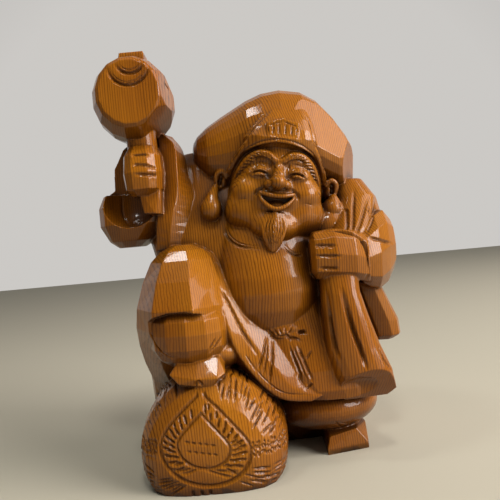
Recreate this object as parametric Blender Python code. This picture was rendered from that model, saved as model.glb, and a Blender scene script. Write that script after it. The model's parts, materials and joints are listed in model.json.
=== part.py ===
"""Carved wooden daikoku figure, one solid: figure, mallet, sack and rice bale cut from one block."""

import math

import bmesh
import bpy
import numpy as np
from mathutils import Euler, Matrix, Vector
from mathutils.bvhtree import BVHTree

# Sizes are in millimetres until the last step, x across, y away from the viewer, z up.
MM = 0.001
VOXEL = 1.4
TRIANGLES = 9600
MIDDLE = (-1.1, -1.3)

BALE_CENTRE = -36.5
BALE_HALF_WIDTH = 51.0
BALE_WIDEST = 26.0
EMBLEM_TILT = 0.13
KNEE_TOP = 161.0
BELLY_CENTRE = (10, -10, 127)
BELLY_HALF_WIDTH = 45.0
BELLY_HALF_DEPTH = 50.0
HEAD_PLACE = (22, -11, 191.5)
HEAD_LEAN = 10.0
FACE = 72.0
HAT_TOP = 275.0
MALLET_CENTRE = (-76.8, 270.8)
MALLET_RADIUS = 28.6
MALLET_FRONT = -55.0
KNOB_TOP = 307.5

FACETS = 11
ROUND = 24


def superellipse(centre_u, centre_v, radius_u, radius_v, sides, power, turn):
    """Points round a superellipse, counter-clockwise."""
    points = []
    for step in range(sides):
        angle = math.tau * (step + turn) / sides
        across, along = math.cos(angle), math.sin(angle)
        u = centre_u + radius_u * math.copysign(abs(across) ** (2 / power), across)
        v = centre_v + radius_v * math.copysign(abs(along) ** (2 / power), along)
        points.append((u, v))
    return points


def skin_over(shape, rings):
    """Faces between neighbouring rings of vertices, and a cap at each end."""
    sides = len(rings[0])
    for lower, upper in zip(rings, rings[1:]):
        for i in range(sides):
            j = (i + 1) % sides
            shape.faces.new((lower[i], lower[j], upper[j], upper[i]))
    shape.faces.new(rings[0])
    shape.faces.new(rings[-1])


def loft(sections, axis="Z", sides=ROUND, power=2.4, turn=0.5, frame=None):
    """A closed form through (level, centre u, centre v, radius u, radius v) sections along an axis."""
    shape = bmesh.new()
    rings = []
    for level, centre_u, centre_v, radius_u, radius_v in sections:
        ring = []
        for u, v in superellipse(centre_u, centre_v, radius_u, radius_v, sides, power, turn):
            place = {"Z": (u, v, level), "Y": (u, level, v), "X": (level, u, v)}[axis]
            ring.append(shape.verts.new(place))
        rings.append(ring)
    skin_over(shape, rings)
    return finished(shape, frame)


def hull(points, frame=None):
    """The convex block around some corners."""
    shape = bmesh.new()
    for point in points:
        shape.verts.new(point)
    bmesh.ops.convex_hull(shape, input=shape.verts)
    loose = [v for v in shape.verts if not v.link_faces]
    bmesh.ops.delete(shape, geom=loose, context="VERTS")
    return finished(shape, frame)


def ellipsoid(centre, radii, turn=(0, 0, 0)):
    """A ball scaled to three radii, turned by degrees."""
    shape = bmesh.new()
    bmesh.ops.create_icosphere(shape, subdivisions=4, radius=1.0)
    spin = Euler([math.radians(a) for a in turn]).to_matrix().to_4x4()
    scale = Matrix.Diagonal((*radii, 1.0))
    return finished(shape, Matrix.Translation(centre) @ spin @ scale)


def curve_through(rows, steps):
    """Rows of numbers with smooth in-between rows added, steps to each stretch."""
    rows = [np.array(row, float) for row in rows]
    padded = [2 * rows[0] - rows[1]] + rows + [2 * rows[-1] - rows[-2]]
    smooth = []
    for a, b, c, d in zip(padded, padded[1:], padded[2:], padded[3:]):
        for i in range(steps):
            t = i / steps
            bend = (2 * a - 5 * b + 4 * c - d) * t**2 + (3 * b - a - 3 * c + d) * t**3
            smooth.append(0.5 * (2 * b + (c - a) * t + bend))
    smooth.append(rows[-1])
    return smooth


def sweep(stations, sides=14):
    """A round bar through (x, y, z, radius) stations, closed at both ends."""
    stations = curve_through(stations, 5)
    points = [Vector(station[:3]) for station in stations]
    shape = bmesh.new()
    rings = []
    for i, point in enumerate(points):
        ahead = points[min(i + 1, len(points) - 1)] - points[max(i - 1, 0)]
        ahead.normalize()
        side = ahead.cross(Vector((0, 1, 0)))
        side.normalize()
        up = side.cross(ahead)
        ring = []
        for step in range(sides):
            angle = math.tau * step / sides
            offset = side * math.cos(angle) + up * math.sin(angle)
            ring.append(shape.verts.new(point + offset * stations[i][3]))
        rings.append(ring)
    skin_over(shape, rings)
    return finished(shape)


def finished(shape, frame=None):
    """A form's mesh, faces outward, placed in its frame."""
    if frame is not None:
        bmesh.ops.transform(shape, matrix=frame, verts=shape.verts)
    bmesh.ops.recalc_face_normals(shape, faces=shape.faces)
    mesh = bpy.data.meshes.new("form")
    shape.to_mesh(mesh)
    shape.free()
    return mesh


def evaluated(mesh, setup):
    """The mesh after one modifier."""
    holder = bpy.data.objects.new("holder", mesh)
    bpy.context.scene.collection.objects.link(holder)
    setup(holder)
    bpy.context.view_layer.update()
    graph = bpy.context.evaluated_depsgraph_get()
    result = bpy.data.meshes.new_from_object(holder.evaluated_get(graph))
    bpy.data.objects.remove(holder)
    return result


def cut(mesh, cutters):
    """The form with each cutter taken away."""
    for cutter in cutters:
        tool = bpy.data.objects.new("cutter", cutter)
        bpy.context.scene.collection.objects.link(tool)
        tool.hide_render = True
        tool.display_type = "WIRE"

        def setup(holder):
            boolean = holder.modifiers.new("cut", "BOOLEAN")
            boolean.operation = "DIFFERENCE"
            boolean.solver = "EXACT"
            boolean.object = tool

        mesh = evaluated(mesh, setup)
        bpy.data.objects.remove(tool)
    return mesh


def strip(stations, steps=4):
    """A closed form through cross-sections of the same few corners each."""
    rows = curve_through([np.ravel(station) for station in stations], steps)
    shape = bmesh.new()
    rings = []
    for row in rows:
        rings.append([shape.verts.new(corner) for corner in row.reshape(-1, 3)])
    skin_over(shape, rings)
    bmesh.ops.triangulate(shape, faces=shape.faces)
    return finished(shape)


def chiselled(mesh, cuts):
    """The form with a flat facet at each (point, outward direction)."""
    shape = bmesh.new()
    shape.from_mesh(mesh)
    for point, outward in cuts:
        everything = shape.verts[:] + shape.edges[:] + shape.faces[:]
        cutting = bmesh.ops.bisect_plane(
            shape, geom=everything, plane_co=point, plane_no=outward, clear_outer=True
        )
        rim = [e for e in cutting["geom_cut"] if isinstance(e, bmesh.types.BMEdge)]
        bmesh.ops.edgeloop_fill(shape, edges=rim)
    return finished(shape)


# The bale he stands on, lying on its side with its domed end to the front: distance back, scale and lift.
BALE_PROFILE = (
    (-87.5, 0.36, 9), (-86, 0.55, 5), (-82.5, 0.73, 1), (-76, 0.88, 0), (-66, 0.97, 0),
    (-52, 1.0, 0), (-10, 1.0, 0), (25, 0.96, 0), (42, 0.84, 0), (50, 0.62, 0),
)


def bale_point(y, scale, lift, angle):
    """A point of the bale's skin, the angle going round its long axis."""
    across, along = math.cos(angle), math.sin(angle)
    rise, power = (51.0, 1.75) if along > 0 else (38.0, 3.0)
    wide = math.copysign(abs(across) ** (2 / power), across)
    high = math.copysign(abs(along) ** (2 / power), along)
    x = BALE_CENTRE + BALE_HALF_WIDTH * scale * wide
    return (x, y, BALE_WIDEST * scale + lift + rise * scale * high)


def bale(sides=40):
    shape = bmesh.new()
    rings = []
    for row in BALE_PROFILE:
        angles = [math.tau * (step + 0.5) / sides for step in range(sides)]
        rings.append([shape.verts.new(bale_point(*row, angle)) for angle in angles])
    skin_over(shape, rings)
    return finished(shape)


def raised_leg():
    knee = loft(
        (
            (36, -46, 0, 33, 28),
            (60, -48, -7, 36, 37),
            (76, -49.5, -14, 38, 45),
            (90, -50, -20, 39, 50),
            (104, -50, -24, 39, 57),
            (118, -50.5, -26, 36.5, 57),
            (136, -50.5, -29, 30.5, 44),
            (150, -49.5, -31, 24.5, 31),
            (157, -49, -33, 17.5, 22),
            (KNEE_TOP, -49, -36, 8, 11),
        ),
        sides=8,
        power=2.0,
        turn=1 / 3,
    )
    arch = loft(((-100, -53, 82, 42, 37), (-66, -53, 82, 38, 34)), axis="Y", power=2.1)
    knee = cut(knee, [arch])
    gather = loft(
        (
            (78, -46, -46, 18, 20),
            (83, -47, -46, 24.5, 27),
            (91, -47.5, -46, 28.5, 32),
            (101, -47.5, -46, 29, 34),
            (110, -47.5, -46, 28, 33.5),
            (116, -47.5, -45, 24, 29.5),
            (121, -47.5, -44, 15, 18),
        ),
        sides=FACETS + 3,
        power=2.2,
    )
    ankle = ellipsoid((-36, -42, 84), (30, 24, 14))
    toe = hull(
        [
            (-54, -45, 85), (-26, -45, 85), (-54, -68, 85.5), (-41, -69.5, 85.5), (-28, -69, 84),
            (-61, -75, 76), (-43.5, -79.5, 72.5), (-29, -79, 72), (-24, -74, 74),
            (-55, -77, 69.5), (-43, -78, 67.5), (-32.5, -77, 67), (-56, -45, 62), (-26, -45, 62),
        ]
    )
    return [knee, gather, ankle, toe]


# The front edge of the robe, from the knee down to the hem.
def robe_lap():
    edge = strip(
        (
            [(-44, -34, 156), (-32, -43, 156), (-26, -36, 153), (-22, -26, 150), (-40, -8, 150)],
            [(-42, -50, 132), (-26, -56, 130), (-18, -48, 131), (-11, -38, 132), (-34, -8, 126)],
            [(-36, -56, 106), (-20.5, -62, 103), (-10, -55, 107), (1, -45, 108), (-26, -8, 100)],
            [(-28, -52, 88), (-15, -63, 84), (-2, -58.5, 87), (14, -49, 88), (-16, -8, 82)],
            [(-12, -50, 67), (-4.5, -62, 65.5), (10, -59.5, 70), (27, -52, 70), (2, -8, 63)],
            [(0, -48, 55), (5.5, -61, 53.5), (18, -60, 58), (34, -54, 60), (9, -8, 53)],
            [(11, -46, 47), (16.5, -60, 47.5), (28, -59, 52), (40, -54, 54), (16, -8, 47)],
            [(27, -46, 44.5), (33, -58.5, 45), (40, -58, 48), (46, -54, 50), (28, -8, 45)],
        )
    )
    return softened([edge], 6)


def body():
    core = loft(((40, -5, 12, 82, 40), (105, -5, 2, 84, 44), (125, -5, 2, 70, 40)), power=3.0)
    belly_x, belly_y, belly_z = BELLY_CENTRE
    belly = loft(
        [
            (belly_z + rise, belly_x, belly_y + back, BELLY_HALF_WIDTH * share, BELLY_HALF_DEPTH * share)
            for rise, back, share in (
                (-36, 0, 0.70), (-30, 0, 0.83), (-18, 0, 0.95), (-6, 0, 1.0), (6, 0.5, 1.0),
                (18, 2, 0.97), (29, 4, 0.925), (39, 6, 0.875), (50, 9, 0.80), (60, 13, 0.68),
            )
        ],
        sides=40,
        power=2.1,
    )
    torso = loft(
        (
            (100, 0, 0, 58, 40),
            (130, -5, 0, 62, 44),
            (150, -8, 1, 66, 41),
            (165, -10, 3, 68, 39),
            (180, -10, 6, 68, 36.5),
            (192, -10, 9, 67, 35),
            (205, -10, 13, 60, 32.5),
            (222, -14, 16, 50, 27),
            (235, -14, 20, 36, 16),
        ),
        power=2.6,
    )
    skirt = loft(
        (
            (44, 51, -2, 31, 53),
            (51, 46.5, -2, 36.5, 56),
            (65, 39, -2, 42, 55),
            (80, 34, -2, 44, 52),
            (100, 22, -2, 46, 47),
            (118, 10, -2, 50, 44),
        ),
        power=2.8,
    )
    belt = sweep([(2, -45, 97, 3), (11, -47.5, 95.5, 4), (21, -48, 95, 4), (33, -45, 95, 3)])
    knot = ellipsoid((16, -49.5, 93), (7, 4, 4))
    trousers = ellipsoid((45, -4, 32), (43, 43, 21))
    shoulder_front = ellipsoid((60, -14, 160), (20, 24, 24))
    back = loft(
        (
            (-3, 16, 34, 54, 36),
            (12, 16, 33, 58, 40),
            (34, 14, 32, 65, 45),
            (42, 14, 31, 62, 42),
            (80, 10, 30, 66, 44),
            (120, 8, 30, 63, 44),
            (150, 6, 26, 58, 38),
            (185, 4, 20, 44, 30),
        )
    )
    sack = ellipsoid((17, 40, 165), (64, 45, 70), turn=(0, 14, 0))
    trunk = softened([belly, torso, shoulder_front], 16)
    return [core, trunk, skirt, belt, knot, trousers, back, sack]


def planted_foot():
    foot = hull(
        [
            (42.5, -40, -3), (74, -32, -3), (42.5, -40, 4), (74, -32, 4),
            (45, -37, 12), (66, -32, 15), (76, -14, 14), (76, -14, -3), (44, -20, 18), (70, -14, 18),
            (44, 30, 16), (71, 30, 16), (44, 30, -3), (76, 30, -3),
        ]
    )
    return [foot]


def raised_arm():
    sleeve = loft(
        (
            (163, -92, -3, 10, 12),
            (168, -90, -5, 18, 20),
            (180, -84, -6, 30, 27),
            (194, -82, -6, 32, 28),
            (203, -79, -5, 31, 27),
            (208, -75, -3, 27.5, 24),
            (225, -74, -1, 28, 22),
            (240, -73, 2, 21, 16),
            (247, -71, 4, 14, 12),
        ),
        sides=FACETS + 1,
        power=2.5,
    )
    scoop = ellipsoid((-86.5, -33, 202), (23.5, 26, 25))
    opening = loft(((204, -92, -36, 32, 30), (230, -92, -36, 32, 33), (262, -92, -36, 34, 33)))
    sleeve = cut(sleeve, [opening, scoop])
    fold = strip(
        (
            [(-66, 6, 249), (-64, -12, 250), (-58, -18, 246), (-53, -8, 246), (-54, 6, 246)],
            [(-68, 6, 236), (-62, -21, 237), (-50, -24, 236.5), (-46, -6, 235), (-47, 8, 235)],
            [(-70, 6, 218), (-61, -27, 218), (-49, -30, 218), (-43, -8, 216), (-43, 8, 216)],
            [(-70, 6, 200), (-61, -30, 200), (-50, -33, 200), (-38, -20, 198), (-26, -4, 196)],
            [(-72, 6, 182), (-66, -34, 182), (-55, -36, 182), (-38, -24, 178), (-24, -8, 178)],
            [(-72, 6, 158), (-70, -30, 158), (-59, -35, 160), (-42, -28, 155), (-28, -10, 155)],
        )
    )
    fist = loft(
        (
            (199, -73, -30, 9, 14),
            (203, -73, -30, 13.5, 20),
            (215, -73, -30, 14.5, 22),
            (228, -73, -29, 13.5, 20),
            (235, -73, -28, 10, 14),
        ),
        sides=FACETS + 1,
        power=3.0,
    )
    handle = hull(
        [(x, y, z) for x, z in ((-77, 206), (-74, 186), (-61.5, 184.5), (-60.5, 206)) for y in (-42, -20)]
        + [(-62, -43, 200), (-66, -44, 185.5)]
    )
    neck = loft(((228, -73, -27, 11, 12), (248, -74, -27, 11, 12)))
    return [sleeve, fist, handle, neck, fold]


def mallet():
    centre_x, centre_z = MALLET_CENTRE
    lathe = (
        (0, 0.74, 1.8), (2, 0.82, 1.4), (15, 0.98, 0.3), (28, 1.03, 0),
        (45, 1.0, 0), (58, 0.9, 0.3), (67, 0.76, 0.6),
    )
    sections = []
    for y, scale, aside in lathe:
        radius = MALLET_RADIUS * scale
        sections.append((MALLET_FRONT + y, centre_x + aside, centre_z, radius, radius * 1.07))
    barrel = loft(sections, axis="Y", sides=16, power=2.0)
    barrel = chiselled(
        barrel, [((-50, -24, 272), (1, -0.1, 0.1)), ((-58, -24, 252), (0.8, -0.1, -0.75))]
    )
    knob = hull(
        [(x, y, 294) for x in (-87, -65) for y in (-31, -10)]
        + [(x, y, KNOB_TOP) for x in (-84.5, -66.5) for y in (-29, -12)]
    )
    return [barrel, knob]


def lowered_arm():
    fist = loft(
        (
            (41, -50, 145, 8, 12),
            (44, -50, 145, 14, 17),
            (58, -48, 145, 18, 18.5),
            (72, -44, 143, 19, 18.5),
            (82, -38, 140, 18, 18),
        ),
        axis="X",
        sides=FACETS,
        power=2.8,
    )
    sleeve = loft(
        (
            (78, -34, 140, 22, 19),
            (84, -28, 141, 26, 24),
            (92, -20, 143, 30, 29),
            (101, -12, 147, 27, 29),
            (108, -8, 148, 20, 20),
            (111, -8, 147, 10, 11),
        ),
        axis="X",
        sides=FACETS,
        power=2.4,
    )
    shoulder = loft(
        (
            (140, 85, 2, 23, 28),
            (165, 86, 4, 21, 26),
            (186, 83, 6, 20, 26),
            (196, 79, 8, 17, 24),
            (202, 73, 10, 13, 18),
        ),
        sides=FACETS,
    )
    tail = loft(
        (
            (75.5, 96, -5, 8, 14),
            (79, 97.5, -5, 12.5, 18),
            (90, 95, -5, 14, 20),
            (115, 86, -8, 12, 22),
            (125, 84, -10, 14, 24),
        ),
        sides=FACETS,
        power=2.8,
    )
    cloth = loft(
        (
            (42, 72, -44, 16, 14),
            (47, 73.5, -46, 20.5, 17),
            (62, 70, -48, 21.5, 18),
            (80, 65, -48, 19.5, 17),
            (100, 62, -48, 16.5, 16),
            (118, 60, -47, 14, 16),
            (132, 60, -46, 14, 15),
        ),
        power=2.6,
    )
    cloth = chiselled(cloth, [((62, -66, 63), (0.12, -0.795, -0.6))])
    mouth = ellipsoid((70, -62, 49.5), (19, 9, 12), turn=(37, 8, 0))
    cloth = cut(cloth, [mouth])
    neck = loft(
        (
            (152, 67, -38, 15, 14),
            (162, 73, -29, 16, 17),
            (174, 79, -16, 16.5, 18),
            (186, 83, -5, 17, 20),
            (201, 79, 6, 14, 18),
        ),
        power=2.4,
    )
    return [fist, sleeve, softened([shoulder, neck], 10), tail, cloth]


# The head leans to the figure's left. Face sizes follow from one face height, as a folk mask is laid out.
HEAD = Matrix.Translation(HEAD_PLACE) @ Matrix.Rotation(math.radians(HEAD_LEAN), 4, "Y")
CHIN, CROWN = -FACE / 2, FACE / 2
EYES, NOSE_TIP, LIPS = FACE * 0.165, FACE * 0.09, -FACE * 0.07
EYE_ASIDE = FACE * 0.187
MOUTH_HALF = FACE * 0.18
FACE_FRONT = -42.0
BROW = (
    (0, -39.0, 21.5, 2.2), (4.5, -38.5, 23.2, 3.4), (9, -38, 25.4, 4.2), (15, -35.4, 25.4, 4.6),
    (21.5, -31, 21.2, 4.4), (26.5, -25, 14.5, 3.8), (30, -19, 8.5, 2.4),
)
HELIX = (
    (37, -12, 10, 1.8), (40.5, -13, 15, 2.1), (44.8, -12, 12.5, 2.1), (44.8, -11, 6, 2.0),
    (41.5, -11, 1.8, 1.8),
)
LOBES = ((-46.5, -21, -14), (43.5, -14, -7))


def softened(forms, spread):
    """Forms run together and smoothed over a spread in square millimetres."""

    def setup(holder):
        smooth = holder.modifiers.new("soft", "SMOOTH")
        smooth.factor = 0.5
        smooth.iterations = max(1, round(spread / VOXEL**2))

    return evaluated(union(joined(forms), VOXEL), setup)


def soft_head():
    """Skull, cheeks, nose and chin, run together and smoothed."""
    forms = [
        loft(
            (
                (CHIN - 3, 0, -8, 13, 14),
                (CHIN + 2, 0, -5, 25, 28),
                (CHIN + 12, 0, -2, 35, 38.5),
                (-8, 0, 0, 37, 41),
                (8, 0, 0, 36, 41),
                (22, 0, 0, 34, 40),
                (CROWN, 0, 0, 30, 37),
            ),
            power=2.1,
        ),
        ellipsoid((0, -37, LIPS + 1), (15, 9.5, 11)),
        ellipsoid((0, -35, CHIN + 13), (18, 12, 12)),
    ]
    for side in (-1, 1):
        forms.append(ellipsoid((side * 19, -26, 0), (14.5, 15.5, 12.5), turn=(0, side * -18, 0)))
        forms.append(ellipsoid((side * 16, -20, -13), (21, 20, 18)))
        forms.append(ellipsoid((side * EYE_ASIDE, -32, EYES + 1), (11, 8.5, 8)))
    nose = [
        ellipsoid((0, -46.5, NOSE_TIP), (5.8, 6.8, 5.4)),
        sweep([(0, -38, 21, 3), (0, -40.5, 15, 3.4), (0, -44.5, NOSE_TIP + 4, 4.6)]),
    ]
    for side in (-1, 1):
        nose.append(ellipsoid((side * 5.8, -43, NOSE_TIP - 1.4), (4, 5.2, 3.8)))
    return softened([softened(forms, 70)] + nose, 5)


def smile_line(rise, drop, half_width):
    """Points of a smile: its corners at rise, its middle lower by drop."""
    shares = (-1, -0.7, -0.35, 0, 0.35, 0.7, 1)
    return [(half_width * t, -46.5 + 4.5 * t * t, rise - drop * (1 - t * t)) for t in shares]


def head():
    """The whole head without its hat."""
    upper = smile_line(LIPS + 3.8, 2.4, MOUTH_HALF)
    lower = smile_line(LIPS + 3.8, 9.6, MOUTH_HALF)
    outline = [(x, z) for x, _, z in upper] + [(x, z) for x, _, z in reversed(lower[1:-1])]
    shape = bmesh.new()
    rings = [[shape.verts.new((x, y, z)) for x, z in outline] for y in (-60, -39.5)]
    skin_over(shape, rings)
    face = cut(soft_head(), [finished(shape)])
    thick = (0.9, 1.5, 1.8, 1.7, 1.8, 1.5, 0.9)
    forms = [face, ellipsoid((0, -39.5, LIPS - 4.2), (7.5, 4, 2.6))]
    for line in (smile_line(LIPS + 5.0, 2.8, MOUTH_HALF + 0.5), smile_line(LIPS + 3.0, 9.8, MOUTH_HALF)):
        forms.append(sweep([(*place, radius) for place, radius in zip(line, thick)]))
    for side in (-1, 1):
        forms.append(sweep([(side * x, y, z, radius) for x, y, z, radius in BROW]))
        forms.append(ellipsoid((side * EYE_ASIDE, -36, EYES + 1.8), (8.4, 6, 5), turn=(0, side * 6, 0)))
        forms.append(sweep([(side * x, y, z, radius) for x, y, z, radius in HELIX]))
        forms.append(ellipsoid((side * 40, -6, 8), (4.5, 6.5, 8)))
    for x, y, z in LOBES:
        hanging = ((0.97 * x, -13, 4, 2.2), (x, y, z + 7.5, 5.0), (x, y, z + 1, 7.8))
        forms += [sweep(hanging), ellipsoid((x, y, z), (8.2, 8.4, 9.2))]
    beard = strip(
        (
            [(-6.5, -43.5, -14), (0, -46, -14), (6.5, -43.5, -14), (7, -24, -15), (-7, -24, -15)],
            [(-8.8, -45.5, -24), (0, -48.5, -24), (8.8, -45.5, -24), (8.8, -24, -25), (-8.8, -24, -25)],
            [(-7, -46, -33), (0, -49, -33), (7, -46, -33), (6.5, -26, -34), (-6.5, -26, -34)],
            [(-2.4, -44, -41.5), (0, -45.5, -42), (2.4, -44, -41.5), (1.8, -32, -41.5), (-1.8, -32, -41.5)],
        )
    )
    forms.append(beard)
    for form in forms:
        form.transform(HEAD)
    return forms


def face_strokes():
    """Eye slits, the hollows above the lids and the folds beside the mouth."""
    eye = ((-7.5, -1.8), (-3, 1.8), (2.5, 1.9), (8.5, -2.2))
    hollow = ((-8.5, 4.5), (-4.5, 8.6), (2, 9.4), (8, 6.2), (12.5, 0.5))
    strokes = []
    for side in (-1, 1):
        slit = [(EYE_ASIDE + x, FACE_FRONT, EYES + z) for x, z in eye]
        lid = [(EYE_ASIDE + x, FACE_FRONT, EYES + z) for x, z in hollow]
        fold = [(9.5, FACE_FRONT, NOSE_TIP - 2), (13, -41, LIPS + 5.5), (15.5, -38, LIPS + 1.5)]
        for points, width, depth in ((slit, 3.4, 3.2), (lid, 4.6, 2.2), (fold, 4.0, 1.8)):
            strokes.append(([HEAD @ Vector((side * x, y, z)) for x, y, z in points], width, depth))
    return strokes


def hat():
    lobes = (
        (-38.5, 3, 232, 7, 5),
        (-37.2, 3, 232, 13, 9),
        (-34, 3, 231, 20, 14.5),
        (-26, 3, 229, 28, 23),
        (-15, 3, 230, 33, 28.5),
        (-4, 2, 231.5, 37, 32.5),
        (6, 1, 234, 40, 35),
        (18, 1, 236, 42, 37.5),
        (32, 1, 236.5, 43, HAT_TOP - 236.5),
        (48, 1, 234.5, 42, 37.5),
        (60, 2, 230.5, 38, 34.5),
        (72, 4, 222, 33, 30),
        (81, 5, 216, 27, 22.5),
        (87, 6, 212, 19, 15.5),
        (89, 6, 211, 10, 10),
    )
    crown = loft(lobes, axis="X", power=2.2)
    crown = chiselled(
        crown,
        [
            ((81, 0, 237.5), (1, -0.15, 0.6)),
            ((87.5, 0, 224), (1, -0.4, -0.2)),
            ((65, -27, 235), (0.55, -0.8, 0.25)),
        ],
    )
    panel = loft(
        (
            (31, 0, -8, 22, 29),
            (35, 0, -10, 26, 31),
            (39, 0, -10, 27.5, 31.5),
            (46, 0.8, -9, 24.5, 30.5),
            (54, 2, -7, 20.5, 28),
            (62, 3, -4, 16.5, 23.5),
            (70, 4, 0, 12, 17),
        ),
        power=4.0,
        frame=HEAD,
    )
    rim = (
        (-36, 8, -39, 9.5, -10), (-33, 16.5, -36, 19, -19), (-27.5, 26, -31, 29, -28),
        (-22, 30, -24, 37.5, -35.5), (-12, 33.3, -12, 38.6, -41), (0, 34.8, 0, 38.6, -43),
    )
    rim += tuple((-x, z, -high_x, high_z, y) for x, z, high_x, high_z, y in reversed(rim[:-1]))
    stations = []
    for x, z, high_x, high_z, y in rim:
        front = ((x, y, z), (high_x, y - 0.6, high_z))
        behind = ((high_x * 0.85, y + 14, high_z), (x * 0.85, y + 14, z))
        stations.append([HEAD @ Vector(corner) for corner in front + behind])
    band = strip(stations)
    crest = hull(
        [(x, y, z) for y in (-42, -30) for x, z in ((-9.8, 39.2), (11.2, 39.6))]
        + [(x, y, z) for y in (-40.5, -30) for x, z in ((-11.4, 48.8), (0, 52.6), (11.8, 49.8))],
        frame=HEAD,
    )
    return [crown, panel, band, crest]


# Cuts that show from a step away, as the points a groove runs through, its width and its depth.
def cloth_strokes():
    hat_creases = (
        [(21, -42, 255), (13, -45, 245), (3, -46, 234), (-3, -44, 227), (-12, -36, 213)],
        [(50, -40, 250), (53, -44, 239), (55.5, -46, 228), (59, -42, 214), (62, -34, 203)],
    )
    neck = (
        [(-17.5, -30, 172), (-13.5, -36, 162), (-6, -44, 155), (7, -51, 152)],
        [(22.5, -50, 152.5), (27.5, -50, 148), (33, -50, 146.5), (40, -50, 148.5)],
    )
    fingers = (
        [(42, -64, 152.4), (58, -66, 151)],
        [(41.5, -64, 145.2), (61, -66, 143.4)],
        [(45, -64, 136.4), (58.5, -66, 135)],
        [(-77, -52, 220.5), (-72, -52, 220), (-58, -50, 217)],
        [(-76, -52, 213), (-58, -50, 211)],
        [(-79, -50, 228), (-64, -50, 227)],
    )
    cuff = (
        [
            (47.5, -56, 163), (59.5, -58, 162), (72.5, -57, 156), (78.5, -56, 149.5),
            (80, -55, 140), (78.5, -52, 127),
        ],
    )
    elbow = ([(83, -51, 154.4), (92, -46, 151), (104, -35, 148)],)
    shoulder_pleats = (
        [(71, -24, 190), (72, -34, 180), (70, -46, 168), (67, -54, 160)],
        [(82, -22, 192), (78, -36, 179), (74.5, -48, 168), (71, -54, 159)],
        [(94, -22, 187), (81, -44, 167), (75, -54, 157)],
    )
    sack_pleats = (
        [(48.4, -60, 120), (48.8, -62, 97), (50.7, -62, 84), (54, -62, 73)],
        [(59, -64, 121), (64, -65, 94), (68, -65, 79), (71, -64, 66)],
    )
    tassels = (
        [(6, -52, 92), (-3, -60, 70)],
        [(10, -52, 89), (4, -60, 60)],
        [(19.5, -55, 86.5), (24.7, -58, 68), (30, -58, 53)],
        [(26, -55, 86), (34.8, -58, 58)],
    )
    trim = ([(-21, -57, 129), (-18, -57, 120), (-11, -58, 98), (-1.5, -58, 79)],)
    behind = []
    for foot_x, foot_z in ((-42, 150), (-22, 118), (8, 104), (40, 112), (64, 140)):
        behind.append([(74, 30, 214), (0.35 * foot_x + 42, 80, 182), (foot_x, 90, foot_z)])
    for fold_x in (-52, -26, 2, 30, 56):
        behind.append([(fold_x * 0.8, 80, 98), (fold_x, 84, 70), (fold_x * 1.1, 84, 42)])
    behind.append([(-62, 40, 37), (-30, 80, 37), (14, 84, 37), (58, 80, 37), (80, 40, 37)])
    wide = [(path, 4.4, 2.0) for path in hat_creases]
    wide += [(path, 3.4, 1.6) for path in shoulder_pleats]
    wide += [(path, 4.6, 3.0) for path in sack_pleats + cuff]
    wide += [(path, 7.0, 2.2) for path in behind]
    narrow = [(path, 3.2, 1.6) for path in fingers + elbow]
    narrow += [(path, 2.8, 1.6) for path in neck + tassels + trim]
    return wide + narrow


def emblem_point(scale, angle):
    """A point of the onion outline on the bale's end, which is pointed at the top."""
    centre_x, centre_z, half_width, below, above = -41.5, 31.0, 30.0, 24.5, 38.0
    across, along = math.cos(angle), math.sin(angle)
    reach = below * along
    if along > 0:
        fullness = 0.35 if across > 0 else 0.45
        reach = above * (fullness * along + (1 - fullness) * (1 - abs(across)) ** 1.4)
    aside = half_width * across * scale
    return (centre_x + aside, -86, centre_z + reach * scale - EMBLEM_TILT * aside)


def emblem_ring(scale):
    return [emblem_point(scale, math.tau * step / 32 + math.pi / 2) for step in range(33)]


def bale_strokes():
    return [(emblem_ring(1.0), 3.2, 1.5), (emblem_ring(0.56), 2.8, 1.3)]


def mallet_strokes():
    strokes = []
    for centre_x, centre_z, radius, spread in ((-72.4, 293.5, 10.3, 68), (-73.8, 289.5, 14.4, 84)):
        arc = []
        for step in range(-6, 7):
            angle = math.radians(step * spread / 6)
            arc.append((centre_x + radius * math.sin(angle), -55, centre_z - radius * math.cos(angle)))
        strokes.append((arc, 3.2, 2.0))
    return strokes


def carved(mesh, strokes):
    """Strokes of (points, width, depth) cut into the skin as V grooves that run out at their ends."""
    shape = bmesh.new()
    shape.from_mesh(mesh)
    skin = BVHTree.FromBMesh(shape)
    shape.free()
    count = len(mesh.vertices)
    places = np.empty(count * 3)
    mesh.vertices.foreach_get("co", places)
    places = places.reshape(-1, 3)
    normals = np.empty(count * 3)
    mesh.vertices.foreach_get("normal", normals)
    normals = normals.reshape(-1, 3)
    sunk = np.zeros(count)
    for points, width, depth in strokes:
        path = np.array([skin.find_nearest(place)[0] for place in curve_through(points, 8)])
        low = path.min(axis=0) - width
        high = path.max(axis=0) + width
        near = np.flatnonzero(((places > low) & (places < high)).all(axis=1))
        starts = path[:-1]
        steps = path[1:] - starts
        offset = places[near][:, None] - starts[None]
        share = (offset * steps).sum(axis=2) / ((steps**2).sum(axis=1) + 1e-9)
        share = np.clip(share, 0, 1)
        gaps = np.linalg.norm(offset - share[..., None] * steps, axis=2)
        nearest = gaps.argmin(axis=1)
        rows = np.arange(len(near))
        run = (nearest + share[rows, nearest]) / len(starts)
        closed = np.linalg.norm(path[0] - path[-1]) < width
        taper = 1.0 if closed else np.minimum(1, 0.12 + 3.6 * np.minimum(run, 1 - run))
        groove = depth * taper * np.clip(1 - 2 * gaps[rows, nearest] / width, 0, 1)
        sunk[near] = np.maximum(sunk[near], groove)
    mesh.vertices.foreach_set("co", (places - normals * sunk[:, None]).ravel())
    return mesh


def joined(forms):
    """All the forms in one mesh, still overlapping."""
    shape = bmesh.new()
    for form in forms:
        shape.from_mesh(form)
    mesh = bpy.data.meshes.new("forms")
    shape.to_mesh(mesh)
    shape.free()
    return mesh


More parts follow.
